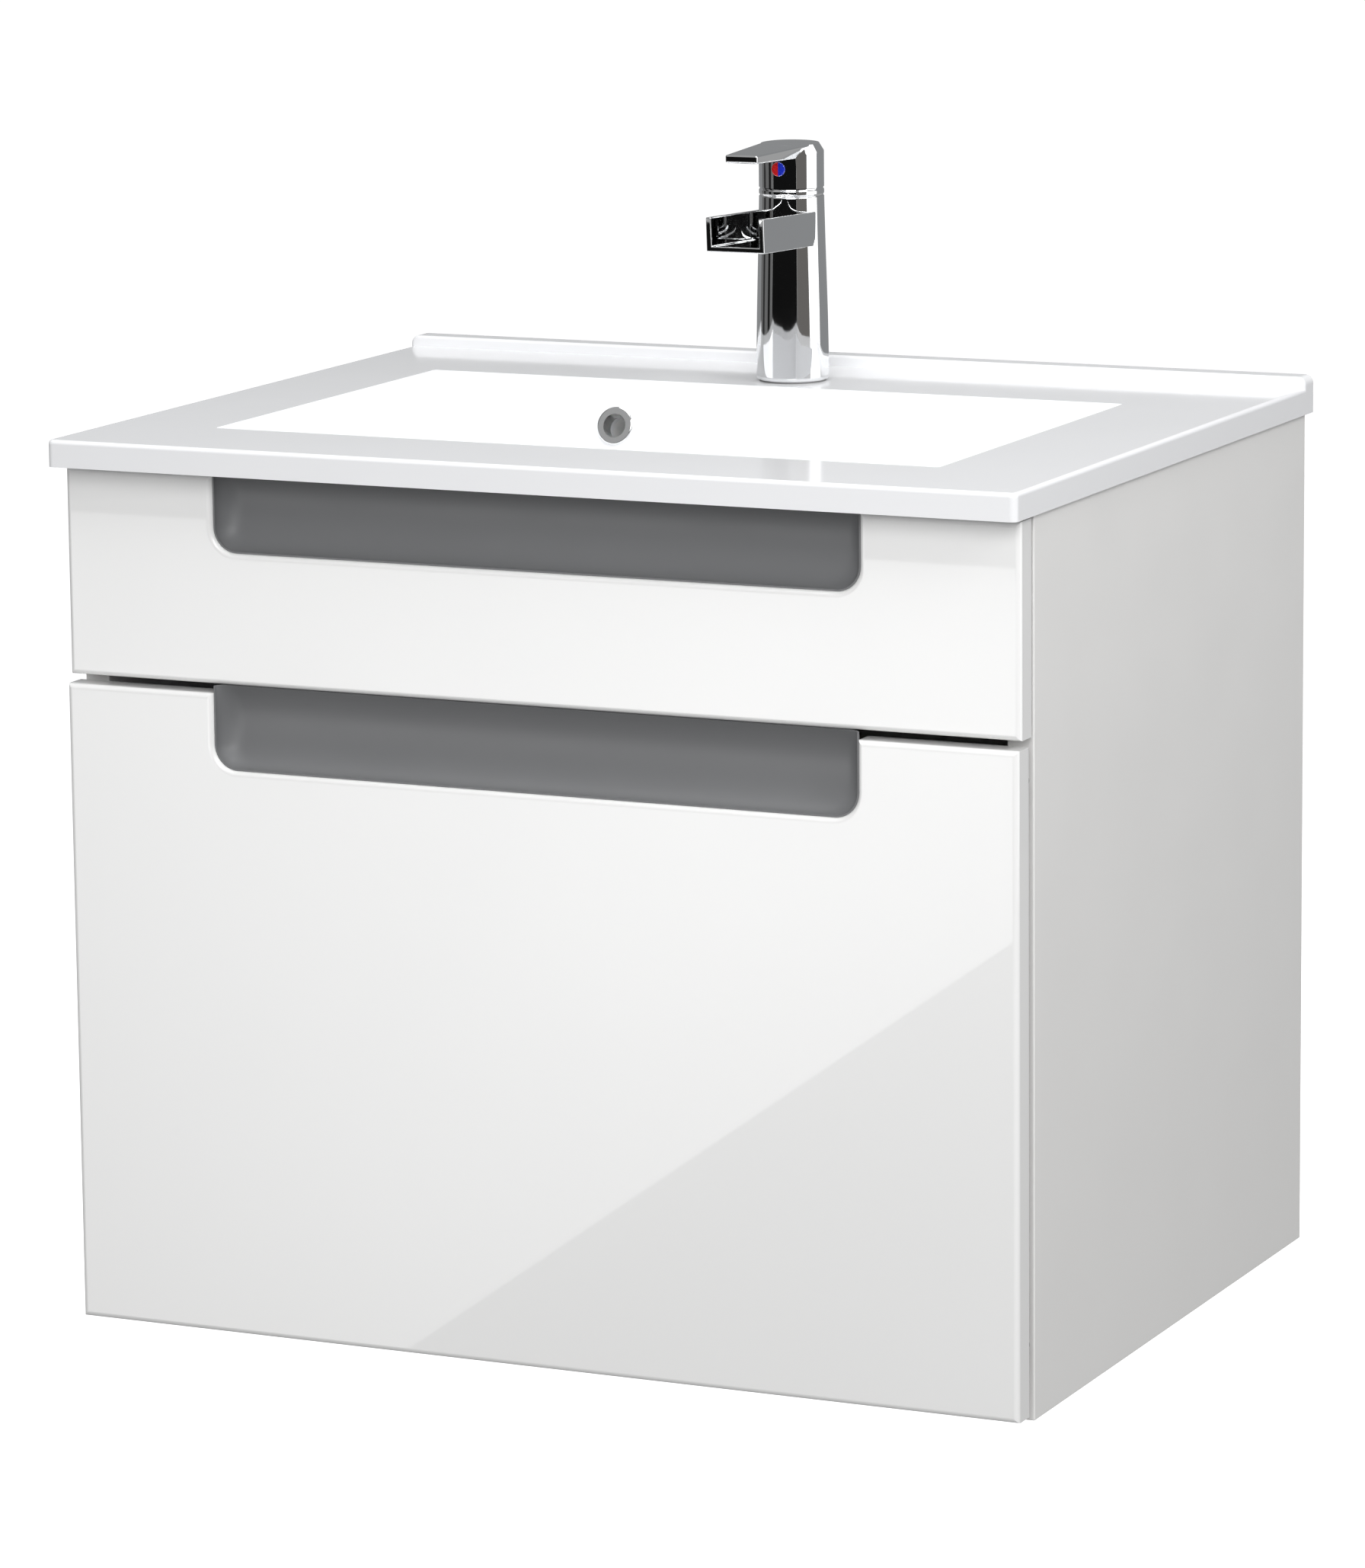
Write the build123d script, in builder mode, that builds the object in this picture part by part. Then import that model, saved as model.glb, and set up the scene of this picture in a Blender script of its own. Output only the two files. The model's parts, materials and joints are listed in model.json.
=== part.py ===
from build123d import *
import os

# Wall-hung bathroom vanity, in millimetres. X points right, Y points into the wall and Z points up.
# The origin lies on the wall plane, centred on the cabinet, at the height of the steel wall rail.

os.makedirs("parts", exist_ok=True)

# Carcass
cabinet_width = 600.0
cabinet_height = 515.0
carcass_depth = 442.0
wall_gap = 6.0
carcass_rise = 60.0
panel = 16.0
panel_edge = 0.8
front_rail_depth = 32.0
fixing_rail_height = 90.0
lower_rail_height = 70.0
back_thickness = 3.0
service_width = 180.0
service_height = 56.0
bottom_dowel_inset = 60.0
rail_dowel_inset = 20.0

# Drawer fronts
front_thickness = 16.0
front_side_inset = 0.5
front_rounding = 3.2
front_corner = 3.0
upper_front_bottom = 391.0
upper_front_top_gap = 2.0
lower_front_bottom = 4.0
front_split = 5.0
upper_front_gap = 3.0
lower_front_gap = 7.0

# Grip recesses
grip_width = 407.0
grip_height = 45.0
grip_corner = 15.0
grip_mouth_corner = 4.0
grip_set_back = 2.5
grip_pocket = 13.0
grip_wall = 1.0
grip_back = 2.0
grip_flange = 8.0
grip_cove = 12.0

# Basin
rim_thickness = 16.0
rim_side_overhang = 3.0
rim_front_overhang = 15.0
rim_rounding = 2.5
rim_corner = 4.0
upstand_height = 7.0
upstand_thickness = 15.0
upstand_end = 5.0
upstand_rounding = 2.0
basin_axis_x = -5.0
bowl_length = 460.0
bowl_width = 286.0
rear_deck = 117.0
bowl_depth = 80.0
bowl_end_slope = 38.0
bowl_side_slope = 26.0
bowl_rim_corner = 3.0
bowl_floor_corner = 55.0
bowl_floor_cove = 26.0
bowl_rim_rounding = 1.0
bowl_wall = 9.0
dish_radius = 62.0
dish_depth = 3.0
dish_clear = 1.0

# Overflow
overflow_offset = -101.0
overflow_drop = 28.0
overflow_hole = 9.0
overflow_ring_outer = 12.0
overflow_ring_bore = 7.4
overflow_ring_lip = 1.8
overflow_ring_rounding = 1.1
overflow_boss = 14.0
overflow_boss_length = 8.0
overflow_pipe_radius = 7.0
overflow_pipe_wall = 1.5
overflow_pipe_bend = 14.0
elbow_length = 16.0
elbow_radius = 12.0
elbow_drop = 24.0
elbow_wall = 2.0
port_gap = 5.0
port_length = 8.0

# Waste and trap
drain_hole = 22.5
waste_radius = 21.0
waste_bore = 17.0
waste_flange_radius = 32.0
waste_flange = 3.0
waste_flange_rounding = 1.5
waste_length = 62.0
waste_nut_radius = 30.0
waste_nut_height = 10.0
gasket_thickness = 3.0
gasket_inset = 1.0
plug_radius = 24.0
plug_thickness = 5.0
plug_seat = 1.0
plug_gap = 0.5
plug_recess_gap = 1.5
plug_rounding = 1.5
plug_stem_gap = 6.0
plug_stem_length = 14.0
strut_drop = 24.0
strut_width = 5.0
tail_radius = 16.0
tail_wall = 1.5
tail_flange = 3.0
tail_length = 60.0
tail_in_bottle = 34.0
bottle_radius = 34.0
bottle_height = 62.0
bottle_wall = 3.0
bottle_neck = 14.0
bottle_rounding = 6.0
outlet_gap = 2.0
outlet_drop = 20.0
rosette_radius = 32.0
rosette_depth = 9.0
rosette_taper = 35.0
union_nut_radius = 23.0
union_nut_height = 16.0

# Mixer
mixer_behind_bowl = 11.0
column_base = 44.0
column_top = 39.6
column_height = 114.0
column_rounding = 5.0
base_inset = 1.5
collar_height = 5.0
collar_groove = 1.0
handle_height = 27.0
handle_shoulder = 5.0
handle_shrink = 2.0
handle_ridge = 12.0
handle_gap = 0.4
lever_reach = 55.0
lever_tip_width = 21.0
lever_tip_thickness = 5.0
lever_fall = 1.5
lever_root_top = 34.0
lever_root_bottom = 20.0
lever_root_thickness = 8.5
lever_corner = 1.2
spout_bottom = 84.0
spout_height = 21.0
spout_reach = 65.0
spout_outer = 38.0
spout_wall = 2.4
spout_cheek = 14.0
spout_cheek_slant = 4.0
spout_cheek_cut = 6.0
spout_rise = 3.0
slot_width = 24.0
slot_height = 3.0
slot_depth = 8.0
mark_radius = 4.4
mark_rise = 12.0
mark_thickness = 1.5
mark_sink = 0.9
mark_rounding = 0.6
mixer_hole = 17.5
cartridge_radius = 14.0
cartridge_height = 34.0
cartridge_sink = 3.0
disc_inset = 2.0
disc_thickness = 2.4
stem_size = 7.0
stem_rise = 0.4
stem_length = 13.0
stem_recess = 14.0
lever_pivot_back = 11.0
lever_pivot_up = 2.5
relief_start = 1.0
relief_rise = 4.6
stud_radius = 4.0
stud_length = 62.0
stud_offset = 8.0
stud_in_body = 12.0
stud_nut_radius = 7.5
stud_nut_height = 8.0
clamp_thickness = 2.0
clamp_overlap = 6.0
clamp_slot_width = 26.0
clamp_slot_depth = 18.0
inlet_radius = 5.5
inlet_bore = 3.0
inlet_length = 70.0
inlet_socket_radius = 4.2
inlet_socket_depth = 12.0
inlet_side = 7.0
inlet_front = 6.0
inlet_in_body = 8.0

# Drawers and slides
drawer_board = 12.0
drawer_bottom = 8.0
drawer_rear_space = 54.0
upper_box_height = 90.0
upper_box_rise = 2.0
upper_back_height = 42.0
lower_box_height = 180.0
lower_box_rise = 30.0
trap_cut_half = 70.0
trap_guard = 10.0
slide_thickness = 12.7
slide_height = 45.0
slide_length = 400.0
slide_sheet = 1.2
slide_ball_gap = 2.0
slide_setback = 2.0
slide_web_gap = 1.8
slide_lip_gap = 2.0
slide_rise = 1.0
slide_screw_inset = 37.0
bracket_leg = 22.0
bracket_sheet = 1.5
bracket_height = 30.0
pad_radius = 5.0
pad_inset = 20.0

# Fixings and fits
dowel_radius = 4.0
dowel_in_side = 10.0
dowel_in_rail = 20.0
screw_radius = 2.0
screw_length = 12.0
screw_head_radius = 3.6
screw_head = 1.2
snug = 0.05
loose = 0.3
near = 0.1
rail_sheet = 1.5
rail_length = 520.0
rail_hole_radius = 4.0
rail_hole_spacing = 400.0
rail_hole_drop = 9.0
rail_drop = 20.0
shelf_z = 2.0
lip_height = 9.0
hook_width = 60.0
hook_spacing = 440.0
hook_clear = 0.9
hook_drop = 24.0
hook_wall_gap = 0.6
hook_lift = 1.0
spacer_radius = 10.0

# Levels and planes shared by the pieces
carcass_top = carcass_rise
underside = carcass_top - cabinet_height
carcass_back = -wall_gap
carcass_front = carcass_back - carcass_depth
inner_half = cabinet_width / 2 - panel
upper_front_back = carcass_front - upper_front_gap
lower_front_back = carcass_front - lower_front_gap
upper_face = upper_front_back - front_thickness
lower_face = lower_front_back - front_thickness
upper_low = underside + upper_front_bottom
upper_high = carcass_top - upper_front_top_gap
lower_low = underside + lower_front_bottom
lower_high = upper_low - front_split
deck = carcass_top + rim_thickness
rim_front = upper_face - rim_front_overhang
bowl_back = -rear_deck
bowl_centre_y = bowl_back - bowl_width / 2
bowl_floor = deck - bowl_depth
mixer_y = bowl_back + mixer_behind_bowl + column_base / 2
slide_inner = inner_half - slide_thickness
box_back = carcass_back - drawer_rear_space
upper_box_low = upper_low + upper_box_rise
lower_box_low = underside + lower_box_rise
slide_front = carcass_front + slide_setback
cut_front = bowl_centre_y - trap_cut_half
waste_low = bowl_floor - dish_depth - waste_length
tail_low = waste_low - tail_length
bottle_high = tail_low + tail_in_bottle
outlet_z = bottle_high - outlet_drop


def write(piece, name):
    """Labels a finished piece and writes its STEP file."""
    piece.label = name
    export_step(piece, f"parts/{name}.step")


def board(x_range, y_range, z_range, edge=0.0, bores=()):
    """A flat board between three pairs of limits, with blind bores along X as (x, y, z, radius, length)."""
    sizes = [high - low for low, high in (x_range, y_range, z_range)]
    middle = [(low + high) / 2 for low, high in (x_range, y_range, z_range)]
    with BuildPart() as piece:
        with Locations(tuple(middle)):
            Box(*sizes)
        if edge:
            fillet(piece.edges(), edge)
        for x, y, z, radius, length in bores:
            with Locations((x, y, z)):
                Cylinder(radius, length, rotation=(0, 90, 0), mode=Mode.SUBTRACT)
    return piece.part


def rods(spots, radius, length, rotation=(0, 0, 0)):
    """A group of equal separate cylinders centred on the spots."""
    with BuildPart() as piece:
        with Locations(*spots):
            Cylinder(radius, length, rotation=rotation)
    return piece.part


# ---------------------------------------------------------------- carcass boards and their dowels
rail_ends = {
    "bottom_panel": [
        (carcass_front + bottom_dowel_inset, underside + panel / 2),
        (carcass_back - bottom_dowel_inset, underside + panel / 2),
    ],
    "front_rail": [(carcass_front + front_rail_depth / 2, carcass_top - panel / 2)],
    "rear_fixing_rail": [
        (carcass_back - panel / 2, carcass_top - rail_dowel_inset),
        (carcass_back - panel / 2, carcass_top - fixing_rail_height + rail_dowel_inset),
    ],
    "rear_lower_rail": [
        (carcass_back - panel / 2, underside + panel + rail_dowel_inset),
        (carcass_back - panel / 2, underside + panel + lower_rail_height - rail_dowel_inset),
    ],
}
dowel_length = dowel_in_side + dowel_in_rail
dowel_x = inner_half + (dowel_in_side - dowel_in_rail) / 2
dowel_spots = [(side * dowel_x, y, z) for ends in rail_ends.values() for y, z in ends for side in (-1, 1)]


def dowel_bores(ends):
    """Bores for the dowels of one rail at both of its ends."""
    radius, length = dowel_radius + snug, dowel_length + 2 * snug
    return [(side * dowel_x, y, z, radius, length) for y, z in ends for side in (-1, 1)]


upper_slide_z = upper_box_low + slide_height / 2 + slide_rise
lower_slide_z = lower_box_low + lower_box_height / 2
slide_centres = {"upper": upper_slide_z, "lower": lower_slide_z}
screw_ys = (slide_front + slide_screw_inset, slide_front + slide_length - slide_screw_inset)


def screw_bores(side):
    """Pilot bores of the slide screws in one side panel."""
    middle = side * (inner_half + screw_length / 2)
    return [(middle, y, z, screw_radius, screw_length) for z in slide_centres.values() for y in screw_ys]


for side, name in ((-1, "side_panel_left"), (1, "side_panel_right")):
    limits = sorted((side * inner_half, side * cabinet_width / 2))
    all_bores = [bore for ends in rail_ends.values() for bore in dowel_bores(ends) if bore[0] * side > 0]
    bores = all_bores + screw_bores(side)
    side_panel = board(limits, (carcass_front, carcass_back), (underside, carcass_top), panel_edge, bores)
    write(side_panel, name)

write(
    board(
        (-inner_half, inner_half), (carcass_front, carcass_back), (underside, underside + panel),
        bores=dowel_bores(rail_ends["bottom_panel"]),
    ),
    "bottom_panel",
)
write(
    board(
        (-inner_half, inner_half), (carcass_front, carcass_front + front_rail_depth),
        (carcass_top - panel, carcass_top), bores=dowel_bores(rail_ends["front_rail"]),
    ),
    "front_rail",
)
write(
    board(
        (-inner_half, inner_half), (carcass_back - panel, carcass_back),
        (carcass_top - fixing_rail_height, carcass_top), bores=dowel_bores(rail_ends["rear_fixing_rail"]),
    ),
    "rear_fixing_rail",
)
write(
    board(
        (-inner_half, inner_half), (carcass_back - panel, carcass_back),
        (underside + panel, underside + panel + lower_rail_height),
        bores=dowel_bores(rail_ends["rear_lower_rail"]),
    ),
    "rear_lower_rail",
)
back_low = underside + panel + lower_rail_height
back_high = carcass_top - fixing_rail_height
with BuildPart() as back_panel:
    with Locations((0, carcass_back - back_thickness / 2, (back_low + back_high) / 2)):
        Box(2 * inner_half, back_thickness, back_high - back_low)
    with Locations((basin_axis_x, carcass_back - back_thickness / 2, outlet_z)):
        Box(service_width, 2 * back_thickness, service_height, mode=Mode.SUBTRACT)
write(back_panel.part, "back_panel")
write(rods(dowel_spots, dowel_radius, dowel_length, (0, 90, 0)), "carcass_dowels")

# ---------------------------------------------------------------- wall rail, hooks and spacers
lip_back = -(rail_sheet + hook_clear)
shelf_top = shelf_z + rail_sheet
hook_top = shelf_top + lip_height

with BuildPart() as wall_rail:
    with BuildSketch(Plane.YZ.offset(-rail_length / 2)):
        with BuildLine():
            Polyline(
                (0, -rail_drop), (0, shelf_top), (lip_back, shelf_top), (lip_back, hook_top),
                (lip_back - rail_sheet, hook_top), (lip_back - rail_sheet, shelf_z), (-rail_sheet, shelf_z),
                (-rail_sheet, -rail_drop), close=True,
            )
        make_face()
    extrude(amount=rail_length)
    with Locations(Plane.XZ.offset(rail_sheet)):
        with Locations((-rail_hole_spacing / 2, -rail_hole_drop), (rail_hole_spacing / 2, -rail_hole_drop)):
            Hole(rail_hole_radius)
write(wall_rail.part, "wall_rail")

with BuildPart() as cabinet_hooks:
    for centre in (-hook_spacing / 2, hook_spacing / 2):
        with BuildSketch(Plane.YZ.offset(centre - hook_width / 2)):
            with BuildLine():
                Polyline(
                    (carcass_back, -hook_drop), (carcass_back, hook_top + rail_sheet),
                    (-hook_wall_gap, hook_top + rail_sheet), (-hook_wall_gap, shelf_top + hook_lift),
                    (-hook_wall_gap - rail_sheet, shelf_top + hook_lift),
                    (-hook_wall_gap - rail_sheet, hook_top),
                    (carcass_back + rail_sheet, hook_top), (carcass_back + rail_sheet, -hook_drop),
                    close=True,
                )
            make_face()
        extrude(amount=hook_width)
write(cabinet_hooks.part, "cabinet_hooks")

spacer_z = underside + panel + lower_rail_height / 2
spacer_spots = [(side * hook_spacing / 2, carcass_back + wall_gap / 2, spacer_z) for side in (-1, 1)]
write(rods(spacer_spots, spacer_radius, wall_gap, (90, 0, 0)), "wall_spacers")

pad_x = cabinet_width / 2 - panel / 2
pad_spots = [
    (upper_front_gap, upper_low + pad_inset),
    (lower_front_gap, lower_high - pad_inset),
    (lower_front_gap, lower_low + 2 * pad_inset),
]
with BuildPart() as closing_pads:
    for gap, height in pad_spots:
        with Locations((-pad_x, carcass_front - gap / 2, height), (pad_x, carcass_front - gap / 2, height)):
            Cylinder(pad_radius, gap, rotation=(90, 0, 0))
write(closing_pads.part, "closing_pads")


# ---------------------------------------------------------------- telescopic slides
def channel(side, x_near, x_far, web_at_near, height, centre_z):
    """One slide member: a sheet channel with its web at either end of an X span from the side panel."""
    faces = [side * (inner_half - x_near), side * (inner_half - x_far)]
    web_x = side * (inner_half - (x_near + slide_sheet / 2 if web_at_near else x_far - slide_sheet / 2))
    with BuildPart() as member:
        for z in (centre_z + (height - slide_sheet) / 2, centre_z - (height - slide_sheet) / 2):
            with Locations(((faces[0] + faces[1]) / 2, slide_front + slide_length / 2, z)):
                Box(abs(faces[0] - faces[1]), slide_length, slide_sheet)
        with Locations((web_x, slide_front + slide_length / 2, centre_z)):
            Box(slide_sheet, slide_length, height)
        if web_at_near and x_near == 0:
            for y in screw_ys:
                with Locations((web_x, y, centre_z)):
                    Cylinder(screw_radius + loose, 2 * slide_sheet, rotation=(0, 90, 0), mode=Mode.SUBTRACT)
    return member.part


middle_near = slide_sheet + slide_web_gap
middle_height = slide_height - 2 * slide_sheet - 2 * slide_ball_gap
rail_near = middle_near + slide_sheet + slide_web_gap
rail_height = middle_height - 2 * slide_sheet - 2 * slide_ball_gap
for level, centre_z in slide_centres.items():
    with BuildPart() as cabinet_pair:
        for side in (-1, 1):
            add(channel(side, 0, slide_thickness - slide_lip_gap, True, slide_height, centre_z))
    write(cabinet_pair.part, f"{level}_cabinet_slides")
    with BuildPart() as middle_pair:
        for side in (-1, 1):
            middle_far = slide_thickness - slide_sheet - loose
            add(channel(side, middle_near, middle_far, True, middle_height, centre_z))
    write(middle_pair.part, f"{level}_middle_slides")
    with BuildPart() as rail_pair:
        for side in (-1, 1):
            add(channel(side, rail_near, slide_thickness, False, rail_height, centre_z))
    write(rail_pair.part, f"{level}_drawer_rails")

with BuildPart() as slide_screws:
    for side in (-1, 1):
        for centre_z in slide_centres.values():
            for y in screw_ys:
                with Locations((side * (inner_half + (screw_length - slide_sheet) / 2), y, centre_z)):
                    Cylinder(screw_radius - snug, screw_length + slide_sheet, rotation=(0, 90, 0))
                with Locations((side * (inner_half - slide_sheet - screw_head / 2), y, centre_z)):
                    Cylinder(screw_head_radius, screw_head, rotation=(0, 90, 0))
write(slide_screws.part, "slide_screws")


# ---------------------------------------------------------------- drawer fronts and grip recesses
def drawer_front(name, back, low, high):
    """A front with rounded edges and a U-shaped cut-out in the middle of its top edge."""
    with BuildPart() as front:
        with BuildSketch(Plane.XZ.offset(-back)) as outline:
            with Locations((0, (low + high) / 2)):
                Rectangle(cabinet_width - 2 * front_side_inset, high - low)
            with Locations((0, high - grip_height / 2)):
                Rectangle(grip_width, grip_height, mode=Mode.SUBTRACT)
            inner = outline.vertices().filter_by(lambda v: abs(v.Y - (high - grip_height)) < near)
            mouth = outline.vertices().filter_by(
                lambda v: abs(v.Y - high) < near and abs(abs(v.X) - grip_width / 2) < near
            )
            outer = outline.vertices().filter_by(lambda v: abs(v.X) > grip_width / 2 + near)
            fillet(inner, grip_corner)
            fillet(mouth, grip_mouth_corner)
            fillet(outer, front_corner)
        extrude(amount=front_thickness)
        face_edges = front.faces().sort_by(Axis.Y)[0].edges()
        fillet(face_edges, front_rounding)
    write(front.part, name)


def grip_scoop(back, high):
    """The hollow of a grip recess: a pocket whose back runs into its ends and floor in wide coves."""
    front_y = back - front_thickness + grip_set_back
    half_width = grip_width / 2 - grip_wall
    floor_z = high - grip_height + grip_wall
    with BuildPart() as scoop:
        with BuildSketch(Plane.XZ.offset(-front_y)) as mouth:
            with Locations((0, floor_z + grip_height)):
                Rectangle(2 * half_width, 2 * grip_height)
            fillet(mouth.vertices().group_by(Axis.Y)[0], grip_corner - grip_wall)
        extrude(amount=-grip_pocket)
        deep_face = scoop.faces().sort_by(Axis.Y)[-1]
        coved = deep_face.edges().filter_by(lambda e: e.center().Z < floor_z + 2 * grip_height - near)
        fillet(coved, grip_cove)
    return scoop.part


def grip_recess(name, back, high):
    """A scooped insert that fills a front's cut-out, with a flange behind the front."""
    top = high - front_rounding
    height = grip_height - front_rounding
    middle = top - height / 2
    scoop = grip_scoop(back, high)
    with BuildPart() as grip:
        with BuildSketch(Plane.XZ.offset(-back)) as block:
            with Locations((0, middle + snug)):
                Rectangle(grip_width - 2 * snug, height - 2 * snug)
            fillet(block.vertices().group_by(Axis.Y)[0], grip_corner)
        extrude(amount=front_thickness - grip_set_back)
        with BuildSketch(Plane.XZ.offset(-back - grip_back)) as flange:
            with Locations((0, middle - grip_flange / 2)):
                Rectangle(grip_width + 2 * grip_flange, height + grip_flange)
            fillet(flange.vertices().group_by(Axis.Y)[0], grip_corner)
        extrude(amount=grip_back)
        add(scoop, mode=Mode.SUBTRACT)
    write(grip.part, name)


drawer_front("upper_front", upper_front_back, upper_low, upper_high)
drawer_front("lower_front", lower_front_back, lower_low, lower_high)
grip_recess("upper_grip", upper_front_back, upper_high)
grip_recess("lower_grip", lower_front_back, lower_high)


# ---------------------------------------------------------------- drawer boxes
def brackets(front_back, low, high):
    """Sheet angles that tie the drawer sides to the front, two for each side."""
    side_face = slide_inner - drawer_board
    with BuildPart() as group:
        for side in (-1, 1):
            for z in (low + bracket_height, high - bracket_height):
                with Locations((side * (side_face - bracket_sheet / 2), front_back + bracket_leg / 2, z)):
                    Box(bracket_sheet, bracket_leg, bracket_height)
                with Locations((side * (side_face - bracket_leg / 2), front_back + bracket_sheet / 2, z)):
                    Box(bracket_leg, bracket_sheet, bracket_height)
    return group.part


def drawer_sides(level, front_back, low, height):
    """Both side boards of a drawer box."""
    for side, hand in ((-1, "left"), (1, "right")):
        limits = sorted((side * slide_inner, side * (slide_inner - drawer_board)))
        side_board = board(limits, (front_back, box_back), (low, low + height), panel_edge)
        write(side_board, f"{level}_drawer_side_{hand}")


box_half = slide_inner - drawer_board
drawer_sides("upper", upper_front_back, upper_box_low, upper_box_height)
drawer_sides("lower", lower_front_back, lower_box_low, lower_box_height)
write(brackets(upper_front_back, upper_box_low, upper_box_low + upper_box_height), "upper_front_brackets")
write(brackets(lower_front_back, lower_box_low, lower_box_low + lower_box_height), "lower_front_brackets")

upper_floor = upper_box_low + drawer_bottom
with BuildPart() as upper_bottom:
    with Locations((0, (upper_front_back + box_back) / 2, upper_box_low + drawer_bottom / 2)):
        Box(2 * box_half, box_back - upper_front_back, drawer_bottom)
    with Locations((basin_axis_x, (cut_front + box_back) / 2, upper_box_low + drawer_bottom / 2)):
        Box(2 * trap_cut_half, box_back - cut_front, drawer_bottom, mode=Mode.SUBTRACT)
write(upper_bottom.part, "upper_drawer_bottom")

guard_height = upper_back_height - drawer_bottom
with BuildPart() as trap_guard_piece:
    with Locations((basin_axis_x, (cut_front - trap_guard + box_back) / 2, upper_floor + guard_height / 2)):
        Box(2 * (trap_cut_half + trap_guard), box_back - cut_front + trap_guard, guard_height)
    with Locations((basin_axis_x, (cut_front + box_back) / 2, upper_floor + guard_height / 2)):
        Box(2 * trap_cut_half, box_back - cut_front, guard_height, mode=Mode.SUBTRACT)
write(trap_guard_piece.part, "upper_trap_guard")

guard_outer = trap_cut_half + trap_guard
with BuildPart() as upper_back:
    for low_x, high_x in ((-box_half, basin_axis_x - guard_outer), (basin_axis_x + guard_outer, box_half)):
        with Locations(((low_x + high_x) / 2, box_back - drawer_board / 2, upper_floor + guard_height / 2)):
            Box(high_x - low_x, drawer_board, guard_height)
write(upper_back.part, "upper_drawer_back")

write(
    board(
        (-box_half, box_half), (lower_front_back, box_back),
        (lower_box_low, lower_box_low + drawer_bottom),
    ),
    "lower_drawer_bottom",
)
write(
    board(
        (-box_half, box_half), (box_back - drawer_board, box_back),
        (lower_box_low + drawer_bottom, lower_box_low + lower_box_height),
    ),
    "lower_drawer_back",
)


# ---------------------------------------------------------------- basin
def bowl_form(grow, sink, cove):
    """The tapered body of the bowl, grown sideways and sunk below the deck, with a coved floor."""
    with BuildPart() as form:
        with BuildSketch(Plane.XY.offset(deck - sink)):
            with Locations((basin_axis_x, bowl_centre_y)):
                RectangleRounded(bowl_length + 2 * grow, bowl_width + 2 * grow, bowl_rim_corner + grow)
        with BuildSketch(Plane.XY.offset(bowl_floor - sink)):
            with Locations((basin_axis_x, bowl_centre_y)):
                RectangleRounded(
                    bowl_length - 2 * bowl_end_slope + 2 * grow,
                    bowl_width - 2 * bowl_side_slope + 2 * grow,
                    bowl_floor_corner + grow,
                )
        loft(ruled=True)
        fillet(form.faces().sort_by(Axis.Z)[0].edges(), cove)
    return form.part


overflow_x = basin_axis_x + overflow_offset
overflow_y = bowl_back - overflow_drop * bowl_side_slope / bowl_depth
overflow_plane = Plane(
    origin=(overflow_x, overflow_y, deck - overflow_drop),
    x_dir=(1, 0, 0),
    z_dir=(0, -bowl_depth, bowl_side_slope),
)
bowl_void = bowl_form(0, 0, bowl_floor_cove)
bowl_shell = bowl_form(bowl_wall, bowl_wall, bowl_floor_cove + bowl_wall)

with BuildPart() as basin:
    with Locations((0, rim_front / 2, carcass_top + rim_thickness / 2)):
        Box(cabinet_width + 2 * rim_side_overhang, -rim_front, rim_thickness)
    fillet(basin.edges().filter_by(Axis.Z).group_by(Axis.Y)[0], rim_corner)
    rounded = basin.faces().sort_by(Axis.Z)[-1].edges().filter_by(lambda e: e.center().Y < -near)
    fillet(rounded, rim_rounding)
    with BuildSketch(Plane.XZ):
        with Locations((0, deck + upstand_height / 2 - rim_rounding / 2)):
            Rectangle(cabinet_width + 2 * rim_side_overhang, upstand_height + rim_rounding)
    extrude(amount=upstand_thickness)
    upper_ends = basin.edges().filter_by(Axis.Y).group_by(Axis.Z)[-1]
    fillet(upper_ends, upstand_end)
    top_edges = basin.edges().filter_by(lambda e: e.center().Z > deck + upstand_height - near)
    fillet(top_edges.sort_by(Axis.Y)[0], upstand_rounding)
    add(bowl_shell)
    with Locations(overflow_plane):
        Cylinder(
            overflow_boss, bowl_wall + overflow_boss_length, align=(Align.CENTER, Align.CENTER, Align.MAX),
        )
    add(bowl_void, mode=Mode.SUBTRACT)
    with Locations((basin_axis_x, bowl_centre_y, bowl_floor - dish_depth)):
        Cone(
            waste_flange_radius + dish_clear, dish_radius, dish_depth,
            align=(Align.CENTER, Align.CENTER, Align.MIN), mode=Mode.SUBTRACT,
        )
    with Locations((basin_axis_x, bowl_centre_y, bowl_floor)):
        Cylinder(drain_hole, 4 * bowl_wall, mode=Mode.SUBTRACT)
    with Locations((basin_axis_x, mixer_y, deck)):
        Cylinder(mixer_hole, 3 * rim_thickness, mode=Mode.SUBTRACT)
    with Locations(overflow_plane):
        Cylinder(overflow_hole, 4 * bowl_wall, mode=Mode.SUBTRACT)
write(basin.part, "basin")

# ---------------------------------------------------------------- overflow fittings
with BuildPart() as overflow_ring:
    with Locations(overflow_plane):
        Cylinder(overflow_ring_outer, overflow_ring_lip, align=(Align.CENTER, Align.CENTER, Align.MIN))
    fillet(overflow_ring.edges().filter_by(GeomType.CIRCLE).sort_by(Axis.Y)[0], overflow_ring_rounding)
    with Locations(overflow_plane):
        Cylinder(overflow_hole - loose, bowl_wall, align=(Align.CENTER, Align.CENTER, Align.MAX))
        Cylinder(overflow_ring_bore, 4 * bowl_wall, mode=Mode.SUBTRACT)
write(overflow_ring.part, "overflow_ring")

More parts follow.
